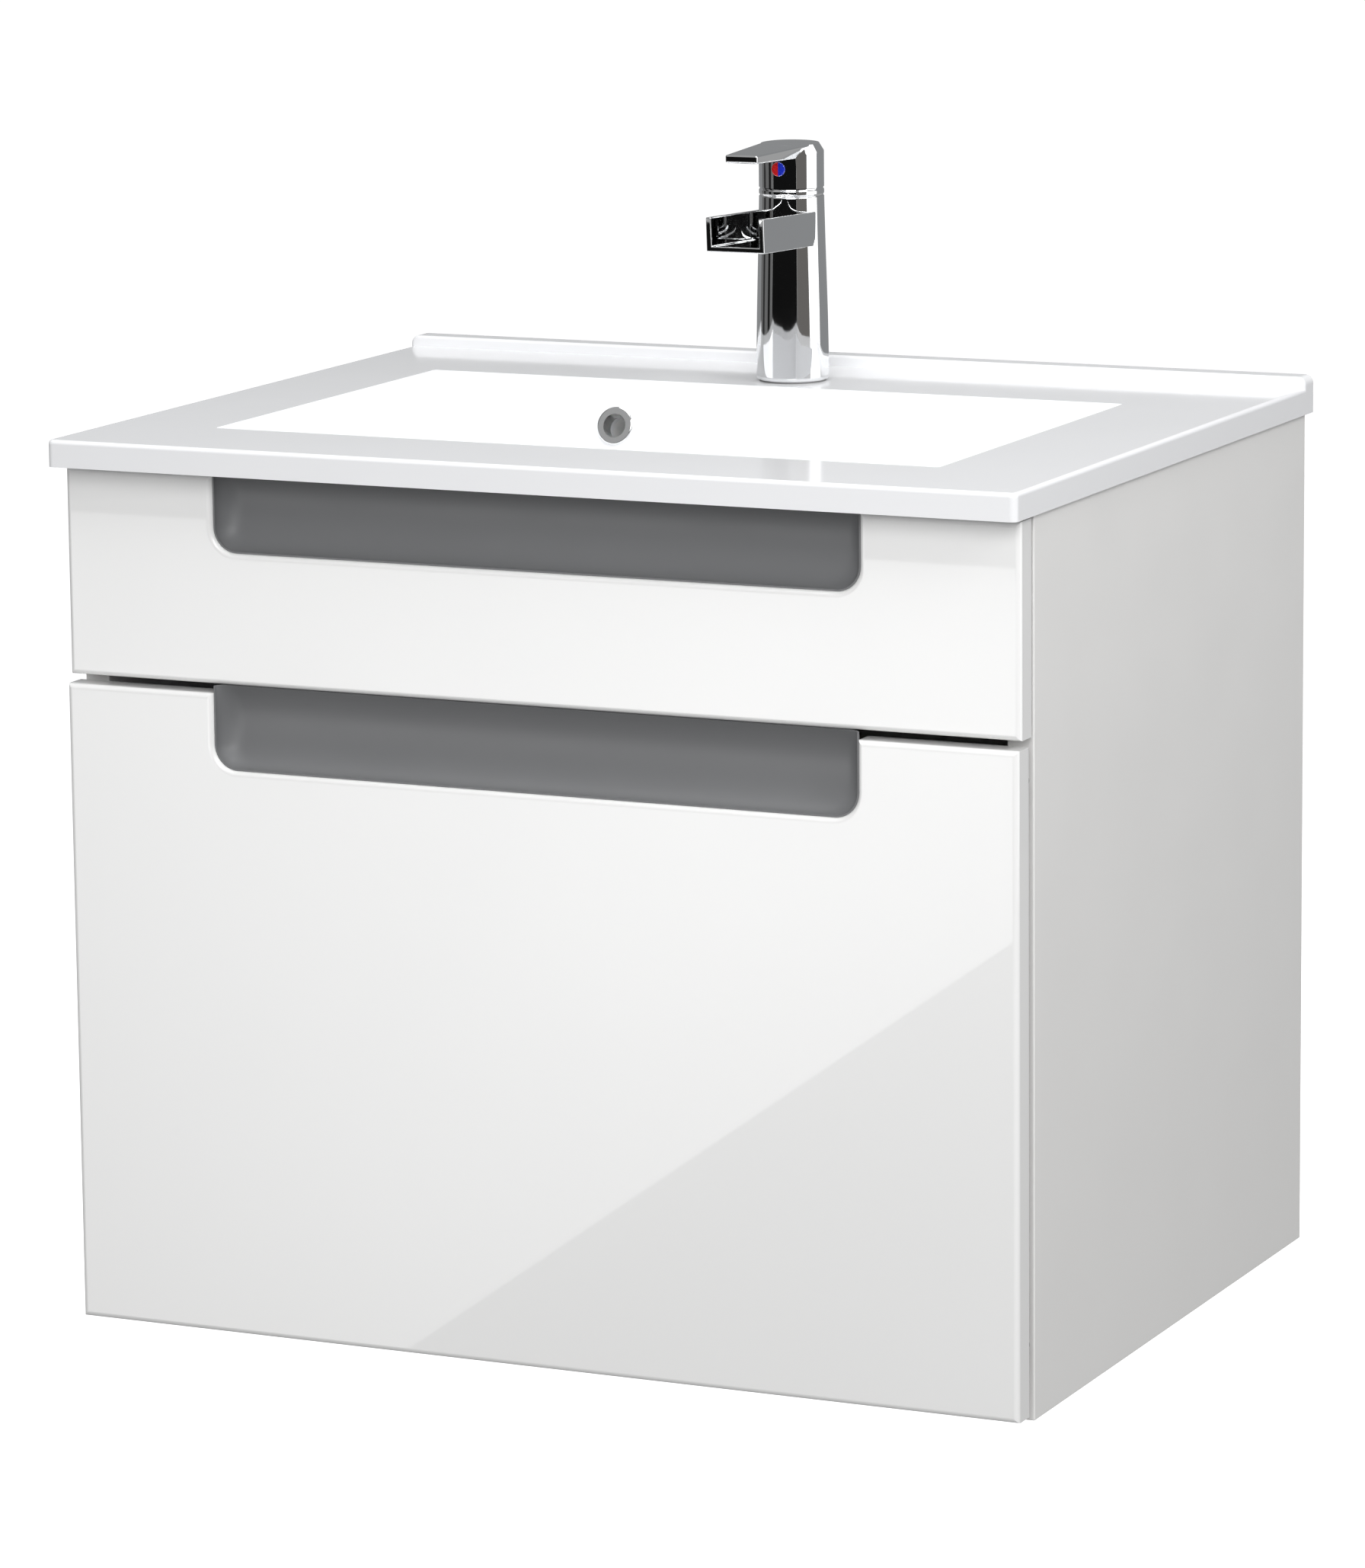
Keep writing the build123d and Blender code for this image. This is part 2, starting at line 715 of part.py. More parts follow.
boss_depth = bowl_wall + overflow_boss_length
elbow_plane = overflow_plane.offset(-boss_depth)
elbow_centre = overflow_plane.offset(-boss_depth - elbow_length / 2).origin
elbow_low = elbow_centre.Z - elbow_radius - elbow_drop
port_z = bowl_floor - bowl_wall - gasket_thickness - waste_nut_height - overflow_pipe_radius - port_gap
port_reach = waste_radius + port_length
elbow_xy = (elbow_centre.X, elbow_centre.Y)


def overflow_tube(radius):
    """A solid along the overflow route: down from the elbow, across behind the bowl, down and forward."""
    with BuildPart() as tube:
        with BuildLine():
            FilletPolyline(
                elbow_centre, (*elbow_xy, elbow_low), (basin_axis_x, elbow_xy[1], elbow_low),
                (basin_axis_x, elbow_xy[1], port_z), (basin_axis_x, bowl_centre_y + port_reach, port_z),
                radius=overflow_pipe_bend,
            )
        with BuildSketch(Plane(elbow_centre, x_dir=(1, 0, 0), z_dir=(0, 0, -1))):
            Circle(radius)
        sweep()
    return tube.part


with BuildPart() as overflow_pipe:
    with Locations(elbow_plane):
        Cylinder(elbow_radius, elbow_length, align=(Align.CENTER, Align.CENTER, Align.MAX))
    add(overflow_tube(overflow_pipe_radius))
    with Locations(elbow_plane):
        Cylinder(
            overflow_hole, elbow_length - elbow_wall,
            align=(Align.CENTER, Align.CENTER, Align.MAX), mode=Mode.SUBTRACT,
        )
    add(overflow_tube(overflow_pipe_radius - overflow_pipe_wall), mode=Mode.SUBTRACT)
write(overflow_pipe.part, "overflow_pipe")

# ---------------------------------------------------------------- waste fitting
flange_low = bowl_floor - dish_depth
drain = (basin_axis_x, bowl_centre_y)
low = (Align.CENTER, Align.CENTER, Align.MIN)
high = (Align.CENTER, Align.CENTER, Align.MAX)

with BuildPart() as waste_body:
    with Locations((*drain, flange_low)):
        Cylinder(waste_flange_radius, waste_flange, align=low)
        Cylinder(waste_radius, waste_length, align=high)
    fillet(waste_body.faces().sort_by(Axis.Z)[-1].edges(), waste_flange_rounding)
    with Locations((basin_axis_x, bowl_centre_y + port_reach / 2, port_z)):
        Cylinder(overflow_pipe_radius, port_reach, rotation=(90, 0, 0))
    with Locations((*drain, flange_low)):
        Cylinder(waste_bore, 3 * waste_length, mode=Mode.SUBTRACT)
    with Locations((*drain, flange_low + plug_seat)):
        Cylinder(plug_radius + plug_recess_gap, waste_flange, align=low, mode=Mode.SUBTRACT)
    with Locations((basin_axis_x, bowl_centre_y + port_reach / 2, port_z)):
        Cylinder(
            overflow_pipe_radius - overflow_pipe_wall, port_reach, rotation=(90, 0, 0), mode=Mode.SUBTRACT,
        )
    with Locations((*drain, flange_low - strut_drop)):
        Box(2 * (waste_bore + loose), strut_width, strut_width)
        Cylinder(strut_width, 2 * strut_width)
write(waste_body.part, "waste_body")

plug_low = flange_low + plug_seat + plug_gap
with BuildPart() as waste_plug:
    with Locations((*drain, plug_low)):
        Cylinder(plug_radius, plug_thickness, align=low)
        Cylinder(waste_bore - plug_stem_gap, plug_stem_length, align=high)
    fillet(waste_plug.faces().sort_by(Axis.Z)[-1].edges(), plug_rounding)
write(waste_plug.part, "waste_plug")

gasket_top = bowl_floor - bowl_wall
with BuildPart() as waste_gasket:
    with Locations((*drain, gasket_top)):
        Cylinder(waste_nut_radius - gasket_inset, gasket_thickness, align=high)
        Cylinder(waste_radius + snug, 3 * gasket_thickness, mode=Mode.SUBTRACT)
write(waste_gasket.part, "waste_gasket")

with BuildPart() as waste_nut:
    with BuildSketch(Plane.XY.offset(gasket_top - gasket_thickness - waste_nut_height)):
        with Locations(drain):
            RegularPolygon(waste_nut_radius, 8)
            Circle(waste_radius + snug, mode=Mode.SUBTRACT)
    extrude(amount=waste_nut_height)
write(waste_nut.part, "waste_nut")

# ---------------------------------------------------------------- bottle trap
with BuildPart() as trap_tail:
    with Locations((*drain, waste_low)):
        Cylinder(tail_radius, tail_length, align=high)
        Cylinder(tail_radius + tail_flange, tail_flange, align=high)
        Cylinder(tail_radius - tail_wall, 3 * tail_length, mode=Mode.SUBTRACT)
write(trap_tail.part, "trap_tail")

neck_length = bottle_radius + bottle_neck
with BuildPart() as trap_bottle:
    with Locations((*drain, bottle_high)):
        Cylinder(bottle_radius, bottle_height, align=high)
    fillet(trap_bottle.edges().filter_by(GeomType.CIRCLE), bottle_rounding)
    with Locations((basin_axis_x, bowl_centre_y + neck_length / 2, outlet_z)):
        Cylinder(tail_radius + bottle_wall, neck_length, rotation=(90, 0, 0))
    with Locations((*drain, bottle_high - bottle_wall)):
        Cylinder(bottle_radius - bottle_wall, bottle_height - 2 * bottle_wall, align=high, mode=Mode.SUBTRACT)
    with Locations((*drain, bottle_high)):
        Cylinder(tail_radius + loose, 4 * bottle_wall, mode=Mode.SUBTRACT)
    with Locations((basin_axis_x, bowl_centre_y + neck_length, outlet_z)):
        Cylinder(tail_radius + loose, 2 * neck_length, rotation=(90, 0, 0), mode=Mode.SUBTRACT)
write(trap_bottle.part, "trap_bottle")

outlet_start = bowl_centre_y + bottle_radius + outlet_gap
with BuildPart() as trap_outlet:
    with Locations((basin_axis_x, outlet_start / 2, outlet_z)):
        Cylinder(tail_radius, -outlet_start, rotation=(90, 0, 0))
        Cylinder(tail_radius - tail_wall, -outlet_start, rotation=(90, 0, 0), mode=Mode.SUBTRACT)
write(trap_outlet.part, "trap_outlet_pipe")

union_y = bowl_centre_y + neck_length + union_nut_height / 2
with BuildPart() as union_nuts:
    with Locations((*drain, bottle_high)):
        Cylinder(union_nut_radius, union_nut_height, align=low)
        Cylinder(tail_radius + loose, 3 * union_nut_height, mode=Mode.SUBTRACT)
    with Locations((basin_axis_x, union_y, outlet_z)):
        Cylinder(union_nut_radius, union_nut_height, rotation=(90, 0, 0))
        Cylinder(tail_radius + loose, union_nut_height, rotation=(90, 0, 0), mode=Mode.SUBTRACT)
write(union_nuts.part, "union_nuts")

with BuildPart() as wall_rosette:
    with BuildSketch(Plane.XZ):
        with Locations((basin_axis_x, outlet_z)):
            Circle(rosette_radius)
    extrude(amount=rosette_depth, taper=rosette_taper)
    with Locations((basin_axis_x, -rosette_depth / 2, outlet_z)):
        Cylinder(tail_radius + loose, rosette_depth, rotation=(90, 0, 0), mode=Mode.SUBTRACT)
write(wall_rosette.part, "wall_rosette")

# ---------------------------------------------------------------- mixer
mixer = (basin_axis_x, mixer_y)
column_high = deck + column_height
collar_high = column_high + collar_height


def octagon_width(z):
    """Width across the flats of the tapering column at a height."""
    return column_base + (column_top - column_base) * min(1.0, (z - deck) / column_height)


def octagon(z, width):
    """The eight-sided column section at a height, on its own sketch plane."""
    with BuildSketch(Plane.XY.offset(z)) as section:
        with Locations(mixer):
            RegularPolygon(width / 2, 8, major_radius=False, rotation=22.5)
        fillet(section.vertices(), column_rounding)
    return section.sketch


def column(z_low, z_high):
    """A length of the tapering eight-sided column."""
    with BuildPart() as piece:
        add(octagon(z_low, octagon_width(z_low)))
        add(octagon(z_high, octagon_width(z_high)))
        loft(ruled=True)
    return piece.part


column_front = mixer_y - octagon_width(deck + spout_bottom) / 2
spout_tip = column_front - spout_reach
spout_back = column_front + spout_cheek
spout_low = deck + spout_bottom
spout_inner = spout_outer / 2 - spout_wall

with BuildPart() as spout_solid:
    with BuildSketch(Plane.YZ.offset(basin_axis_x - spout_outer / 2)):
        with BuildLine():
            Polyline(
                (spout_back - spout_cheek_slant, spout_low), (spout_tip, spout_low + spout_rise),
                (spout_tip, spout_low + spout_rise + spout_height), (spout_back, spout_low + spout_height),
                (spout_back, spout_low + spout_cheek_cut), close=True,
            )
        make_face()
    extrude(amount=spout_outer)
with BuildPart() as spout_hollow:
    with BuildSketch(Plane.YZ.offset(basin_axis_x - spout_inner)):
        with BuildLine():
            Polyline(
                (spout_back, spout_low + spout_wall), (spout_tip, spout_low + spout_rise + spout_wall),
                (spout_tip, spout_low + spout_rise + 2 * spout_height),
                (spout_back, spout_low + 2 * spout_height),
                close=True,
            )
        make_face()
    extrude(amount=2 * spout_inner)

with BuildPart() as spout_cheeks:
    add(spout_solid.part)
    with Locations((basin_axis_x, (spout_back + spout_tip) / 2, spout_low + spout_height / 2)):
        Box(2 * spout_inner, 2 * (spout_back - spout_tip), 2 * spout_height, mode=Mode.SUBTRACT)
cheeks = spout_cheeks.part
stud_spot = (basin_axis_x, mixer_y + stud_offset)
inlet_spots = [(basin_axis_x + side * inlet_side, mixer_y - inlet_front) for side in (-1, 1)]

with BuildPart() as faucet_body:
    add(column(deck + gasket_thickness / 3, column_high))
    with BuildPart(mode=Mode.SUBTRACT):
        add(cheeks)
    with Locations((*mixer, column_high)):
        Cylinder(cartridge_radius + snug, cartridge_height, align=high, mode=Mode.SUBTRACT)
    with Locations((*stud_spot, deck)):
        Cylinder(stud_radius, 2 * (stud_in_body + snug), mode=Mode.SUBTRACT)
    with Locations(*((x, y, deck) for x, y in inlet_spots)):
        Cylinder(inlet_radius + snug, 2 * (inlet_in_body + snug), mode=Mode.SUBTRACT)
    with Locations((basin_axis_x, column_front, spout_low + spout_wall + slot_height)):
        Box(slot_width, 2 * slot_depth, slot_height, mode=Mode.SUBTRACT)
write(faucet_body.part, "faucet_body")

with BuildPart() as faucet_spout:
    add(spout_solid.part)
    add(spout_hollow.part, mode=Mode.SUBTRACT)
    with Locations((basin_axis_x, mixer_y, spout_low + spout_height / 2)):
        Box(2 * spout_inner, max(column_base, column_top), 2 * spout_height, mode=Mode.SUBTRACT)
write(faucet_spout.part, "faucet_spout")

with BuildPart() as faucet_collar:
    add(octagon(column_high, octagon_width(column_high) - 2 * collar_groove))
    extrude(amount=collar_height)
    add(octagon(column_high + collar_groove, octagon_width(column_high)))
    extrude(amount=collar_height - 2 * collar_groove)
    with Locations((*mixer, column_high)):
        Cylinder(cartridge_radius + snug, 4 * collar_height, mode=Mode.SUBTRACT)
write(faucet_collar.part, "faucet_collar")

with BuildPart() as faucet_cartridge:
    with Locations((*mixer, column_high)):
        Cylinder(cartridge_radius - snug, cartridge_height, align=high)
        Cylinder(cartridge_radius - snug, collar_height - cartridge_sink, align=low)
write(faucet_cartridge.part, "faucet_cartridge")

handle_low = collar_high + handle_gap
with BuildPart() as cartridge_disc:
    with Locations((*mixer, collar_high - cartridge_sink + loose)):
        Cylinder(cartridge_radius - disc_inset, disc_thickness, align=low)
write(cartridge_disc.part, "cartridge_disc")

handle_high = handle_low + handle_height
shoulder_z = handle_high - handle_shoulder
half_top = column_top / 2
lever_tip_y = mixer_y - half_top - lever_reach
lever_root_y = mixer_y - half_top / 2
ridge_y = mixer_y + handle_ridge
pivot = (basin_axis_x, mixer_y + lever_pivot_back, handle_low + lever_pivot_up)


def roof_z(y):
    """Height of the sloping roof that runs from the ridge out to the lever's tip."""
    return handle_high - lever_fall * (ridge_y - y) / (ridge_y - lever_tip_y)


with BuildPart() as faucet_handle:
    add(octagon(handle_low, column_top))
    extrude(amount=shoulder_z - handle_low)
    add(octagon(shoulder_z, column_top))
    with Locations((0, -handle_shrink)):
        add(octagon(handle_high, column_top - 2 * handle_shrink))
    loft(ruled=True)
    # the roof falls away from its ridge towards the lever
    with BuildSketch(Plane.YZ.offset(basin_axis_x - column_base)):
        with BuildLine():
            Polyline(
                (ridge_y, handle_high), (lever_tip_y, roof_z(lever_tip_y)),
                (lever_tip_y, handle_high + handle_shoulder), (ridge_y, handle_high + handle_shoulder),
                close=True,
            )
        make_face()
    extrude(amount=2 * column_base, mode=Mode.SUBTRACT)
    # the lever: flush with the roof, with sides that lean in below where it meets the body
    lever_planes = (
        (lever_tip_y, lever_tip_width, lever_tip_width, lever_tip_thickness),
        (lever_root_y, lever_root_top, lever_root_bottom, lever_root_thickness),
    )
    for y, top_width, low_width, thickness in lever_planes:
        with BuildSketch(Plane.XZ.offset(-y)) as section:
            with BuildLine():
                Polyline(
                    (basin_axis_x - low_width / 2, roof_z(y) - thickness),
                    (basin_axis_x + low_width / 2, roof_z(y) - thickness),
                    (basin_axis_x + top_width / 2, roof_z(y)),
                    (basin_axis_x - top_width / 2, roof_z(y)), close=True,
                )
            make_face()
            fillet(section.vertices(), lever_corner)
    loft(ruled=True)
    # relief under the back edge, so that the lever can lift about its pivot
    with BuildSketch(Plane.YZ.offset(basin_axis_x - column_base)):
        with BuildLine():
            Polyline(
                (pivot[1] - relief_start, handle_low), (mixer_y + column_base / 2, handle_low),
                (mixer_y + column_base / 2, handle_low + relief_rise), close=True,
            )
        make_face()
    extrude(amount=2 * column_base, mode=Mode.SUBTRACT)
    with Locations((*mixer, handle_low)):
        Box(stem_size + 2 * loose, stem_size + 2 * loose, 2 * stem_recess, mode=Mode.SUBTRACT)
    with Locations((basin_axis_x, mixer_y - half_top, handle_low + mark_rise)):
        Cylinder(mark_radius + snug, 2 * (mark_sink + loose / 3), rotation=(90, 0, 0), mode=Mode.SUBTRACT)
write(faucet_handle.part, "faucet_handle")

with BuildPart() as faucet_stem:
    with Locations((*mixer, handle_low + stem_rise)):
        Box(stem_size, stem_size, stem_length, align=low)
write(faucet_stem.part, "faucet_stem")

for side, name in ((-1, "red_mark"), (1, "blue_mark")):
    with BuildPart() as mark:
        with BuildSketch(Plane.XZ.offset(-(mixer_y - half_top + mark_sink))):
            with Locations((basin_axis_x, handle_low + mark_rise)):
                Circle(mark_radius)
                with Locations((-side * mark_radius, 0)):
                    Rectangle(2 * mark_radius, 2 * mark_radius, mode=Mode.SUBTRACT)
        extrude(amount=mark_thickness)
        fillet(mark.faces().sort_by(Axis.Y)[0].edges().filter_by(GeomType.CIRCLE), mark_rounding)
    write(mark.part, name)

with BuildPart() as faucet_gasket:
    with Locations((*mixer, deck)):
        Cylinder(column_base / 2 - base_inset, gasket_thickness / 3, align=low)
        Cylinder(mixer_hole - gasket_inset, gasket_thickness, mode=Mode.SUBTRACT)
write(faucet_gasket.part, "faucet_gasket")

with BuildPart() as faucet_stud:
    with Locations((*stud_spot, deck + stud_in_body)):
        Cylinder(stud_radius - snug, stud_length, align=high)
write(faucet_stud.part, "faucet_stud")

with BuildPart() as faucet_clamp:
    with BuildSketch(Plane.XY.offset(carcass_top - clamp_thickness)):
        with Locations(mixer):
            Circle(mixer_hole + clamp_overlap)
        with Locations((basin_axis_x, mixer_y - stud_offset)):
            Rectangle(clamp_slot_width, clamp_slot_depth, mode=Mode.SUBTRACT)
        with Locations(stud_spot):
            Circle(stud_radius + loose, mode=Mode.SUBTRACT)
    extrude(amount=clamp_thickness)
write(faucet_clamp.part, "faucet_clamp")

with BuildPart() as faucet_nut:
    with BuildSketch(Plane.XY.offset(carcass_top - clamp_thickness - stud_nut_height)):
        with Locations(stud_spot):
            RegularPolygon(stud_nut_radius, 6)
            Circle(stud_radius + snug, mode=Mode.SUBTRACT)
    extrude(amount=stud_nut_height)
write(faucet_nut.part, "faucet_nut")

inlet_low = deck + inlet_in_body - inlet_length
with BuildPart() as faucet_inlets:
    with Locations(*((x, y, inlet_low) for x, y in inlet_spots)):
        Cylinder(inlet_radius, inlet_length, align=low)
        Cylinder(inlet_bore, 3 * inlet_length, mode=Mode.SUBTRACT)
        Cylinder(inlet_socket_radius, inlet_socket_depth, align=low, mode=Mode.SUBTRACT)
write(faucet_inlets.part, "faucet_inlets")
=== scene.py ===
import json
import logging
import math
from collections.abc import Iterable, Mapping
from dataclasses import dataclass, field
from enum import Enum
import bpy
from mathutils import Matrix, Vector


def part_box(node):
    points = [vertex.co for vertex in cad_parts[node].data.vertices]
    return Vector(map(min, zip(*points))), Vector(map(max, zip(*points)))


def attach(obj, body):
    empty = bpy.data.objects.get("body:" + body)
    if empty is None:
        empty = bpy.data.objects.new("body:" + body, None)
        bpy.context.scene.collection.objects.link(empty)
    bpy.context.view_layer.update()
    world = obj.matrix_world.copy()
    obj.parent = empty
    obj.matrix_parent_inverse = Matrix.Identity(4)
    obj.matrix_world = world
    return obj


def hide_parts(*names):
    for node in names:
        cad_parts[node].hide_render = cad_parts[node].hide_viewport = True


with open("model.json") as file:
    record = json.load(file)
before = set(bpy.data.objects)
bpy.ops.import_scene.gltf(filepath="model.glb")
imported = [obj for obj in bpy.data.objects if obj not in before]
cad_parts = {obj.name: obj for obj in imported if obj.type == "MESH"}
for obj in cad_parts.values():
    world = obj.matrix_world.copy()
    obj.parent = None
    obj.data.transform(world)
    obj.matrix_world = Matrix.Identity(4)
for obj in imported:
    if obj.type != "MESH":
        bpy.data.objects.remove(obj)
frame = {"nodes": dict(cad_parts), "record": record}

from types import MappingProxyType

import bmesh
import bpy
from mathutils import Matrix, Vector

LOG = logging.getLogger("vanity")
Colour = tuple[float, float, float]
Point = tuple[float, float, float]
PLAIN: Mapping[str, float] = MappingProxyType({})
SIDES = 8  # flats of the mixer's column
HALF_SIDE = math.pi / SIDES
MERGE = 0.000001  # vertices nearer than this are one
LEVEL = 0.0001  # an edge that rises less than this is level


class Slot(Enum):
    """The record's material slots that pieces take their finish from."""

    FRONT = "front_gloss"
    GRIP = "grip_grey"
    BOARD = "board_white"
    DRAWER = "drawer_board"
    GUARD = "trap_guard"
    DOWEL = "dowel_wood"
    BASIN = "basin_white"
    CHROME = "chrome"
    ZINC = "zinc_steel"
    BRASS = "brass"
    TRAP = "trap_plastic"
    CARTRIDGE = "cartridge_plastic"
    RUBBER = "rubber_grey"
    RED = "mark_red"
    BLUE = "mark_blue"


class Graph:
    """A material's node tree with short calls for the nodes that the finishes share."""

    noise_range: tuple[float, float] = (0.3, 0.7)  # where nearly all of a fractal noise's values lie

    def __init__(self, title: str) -> None:
        """Starts the tree with its Principled shader.

        Args:
            title: The material's name.
        """
        self.material = bpy.data.materials.new(title)
        self.material.use_nodes = True
        self.tree = self.material.node_tree
        self.shader = self.tree.nodes["Principled BSDF"]
        self.place = self.tree.nodes.new("ShaderNodeTexCoord").outputs["Object"]

    def node(self, kind: str, values: Mapping[str, object] = PLAIN, **settings: object) -> bpy.types.Node:
        """Adds a node.

        Args:
            kind: The node's type, without its ShaderNode prefix.
            values: Input sockets by name, each a plain value or an output to link.
            settings: Properties of the node itself.

        Returns:
            The new node.
        """
        made = self.tree.nodes.new("ShaderNode" + kind)
        for key, value in settings.items():
            setattr(made, key, value)
        for key, value in values.items():
            self.feed(made.inputs[key], value)
        return made

    def feed(self, socket: bpy.types.NodeSocket, value: object) -> None:
        """Links an output to a socket, or sets the socket's own value."""
        if isinstance(value, bpy.types.NodeSocket):
            self.tree.links.new(value, socket)
        else:
            socket.default_value = value

    def stretched(self, stretch: Point) -> bpy.types.NodeSocket:
        """Object coordinates scaled by one factor per axis."""
        return self.node("Mapping", {"Vector": self.place, "Scale": stretch}).outputs["Vector"]

    def noise(self, scale: float, detail: float = 3.0, stretch: Point = (1, 1, 1)) -> bpy.types.NodeSocket:
        """A fractal noise from 0 to 1.

        Args:
            scale: Blotches to the metre.
            detail: Octaves.
            stretch: Factors on the three axes.

        Returns:
            The noise's value.
        """
        values = {"Vector": self.stretched(stretch), "Scale": scale, "Detail": detail}
        return self.node("TexNoise", values).outputs["Fac"]

    def ramp(self, value: bpy.types.NodeSocket, low: float, high: float) -> bpy.types.NodeSocket:
        """Maps the middle of a noise's range onto low to high."""
        darkest, lightest = self.noise_range
        values = {"Value": value, "From Min": darkest, "From Max": lightest, "To Min": low, "To Max": high}
        return self.node("MapRange", values).outputs["Result"]

    def blend(self, value: bpy.types.NodeSocket, first: Colour, second: Colour) -> bpy.types.NodeSocket:
        """Mixes two colours by a value.

        Args:
            value: The share of the second colour.
            first: The colour at 0.
            second: The colour at 1.

        Returns:
            The mixed colour.
        """
        mix = self.node("Mix", data_type="RGBA")
        self.feed(mix.inputs[0], value)
        self.feed(mix.inputs[6], (*first, 1.0))
        self.feed(mix.inputs[7], (*second, 1.0))
        return mix.outputs[2]

    def bump(self, height: bpy.types.NodeSocket, depth: float, strength: float = 1.0) -> None:
        """Adds relief under the shader's normal, on top of any relief already there.

        Args:
            height: The relief's height from 0 to 1.
            depth: The real height of 1, in metres.
            strength: The share of the relief that shows.
        """
        made = self.node("Bump", {"Height": height, "Distance": depth, "Strength": strength})
        normal = self.shader.inputs["Normal"]
        if normal.is_linked:
            self.feed(made.inputs["Normal"], normal.links[0].from_socket)
        self.feed(normal, made.outputs["Normal"])


@dataclass(frozen=True)
class Finish:
    """A surface finish: two close colours, a roughness that wanders and a fine relief."""

    title: str
    colour: Colour
    tone: Colour
    blotches: float = 6.0
    roughness: tuple[float, float] = (0.3, 0.4)
    grain: float = 900.0
    grain_depth: float = 0.00002
    stretch: Point = (1, 1, 1)
    sockets: Mapping[str, float] = field(default_factory=dict)

    def build(self) -> bpy.types.Material:
        """Makes the finish's material.

        Returns:
            The material, with colour, roughness and relief from nodes.
        """
        graph = Graph(self.title)
        for key, value in self.sockets.items():
            graph.shader.inputs[key].default_value = value
        cloud = graph.noise(self.blotches)
        graph.feed(graph.shader.inputs["Base Color"], graph.blend(cloud, self.colour, self.tone))
        wear = graph.noise(self.blotches * 4, 4.0, self.stretch)
        graph.feed(graph.shader.inputs["Roughness"], graph.ramp(wear, *self.roughness))
        graph.bump(graph.noise(self.grain, 2.0, self.stretch), self.grain_depth)
        self.detail(graph)
        return graph.material

    def detail(self, graph: Graph) -> None:
        """Adds what only this kind of finish has; the plain finish adds nothing."""


@dataclass(frozen=True)
class Lacquer(Finish):
    """Glossy lacquer, with the long soft waves that a sprayed board keeps."""

    wave: float = 22.0
    wave_depth: float = 0.000003

    def detail(self, graph: Graph) -> None:
        """Adds the waves."""
        graph.bump(graph.noise(self.wave, 1.0), self.wave_depth)


@dataclass(frozen=True)
class Melamine(Finish):
    """Printed board with a pearl relief of small closed cells."""

    pearl: float = 1400.0
    pearl_depth: float = 0.00003

    def detail(self, graph: Graph) -> None:
        """Adds the pearl relief."""
        cells = graph.node("TexVoronoi", {"Vector": graph.place, "Scale": self.pearl}, feature="SMOOTH_F1")
        graph.bump(cells.outputs["Distance"], self.pearl_depth)


@dataclass(frozen=True)
class Metal(Finish):
    """Metal with hairlines along one direction."""

    hairlines: Point = (1, 1, 1)
    hairline_scale: float = 2500.0
    hairline_depth: float = 0.0

    def detail(self, graph: Graph) -> None:
        """Adds the hairlines, where the metal has them."""
        if self.hairline_depth:
            graph.bump(graph.noise(self.hairline_scale, 2.0, self.hairlines), self.hairline_depth)


@dataclass(frozen=True)
class Timber(Finish):
    """Plain wood with a grain along X."""

    fibre_scale: float = 700.0
    fibre_stretch: Point = (0.06, 1, 1)
    fibre_shade: float = 0.7
    fibre_depth: float = 0.00008

    def detail(self, graph: Graph) -> None:
        """Lays darker fibres over the base colour."""
        fibres = graph.noise(self.fibre_scale, 4.0, self.fibre_stretch)
        dark = tuple(self.fibre_shade * share for share in self.tone)
        mixed = graph.blend(graph.ramp(fibres, 0.0, 1.0), self.colour, dark)
        graph.feed(graph.shader.inputs["Base Color"], mixed)
        graph.bump(fibres, self.fibre_depth)


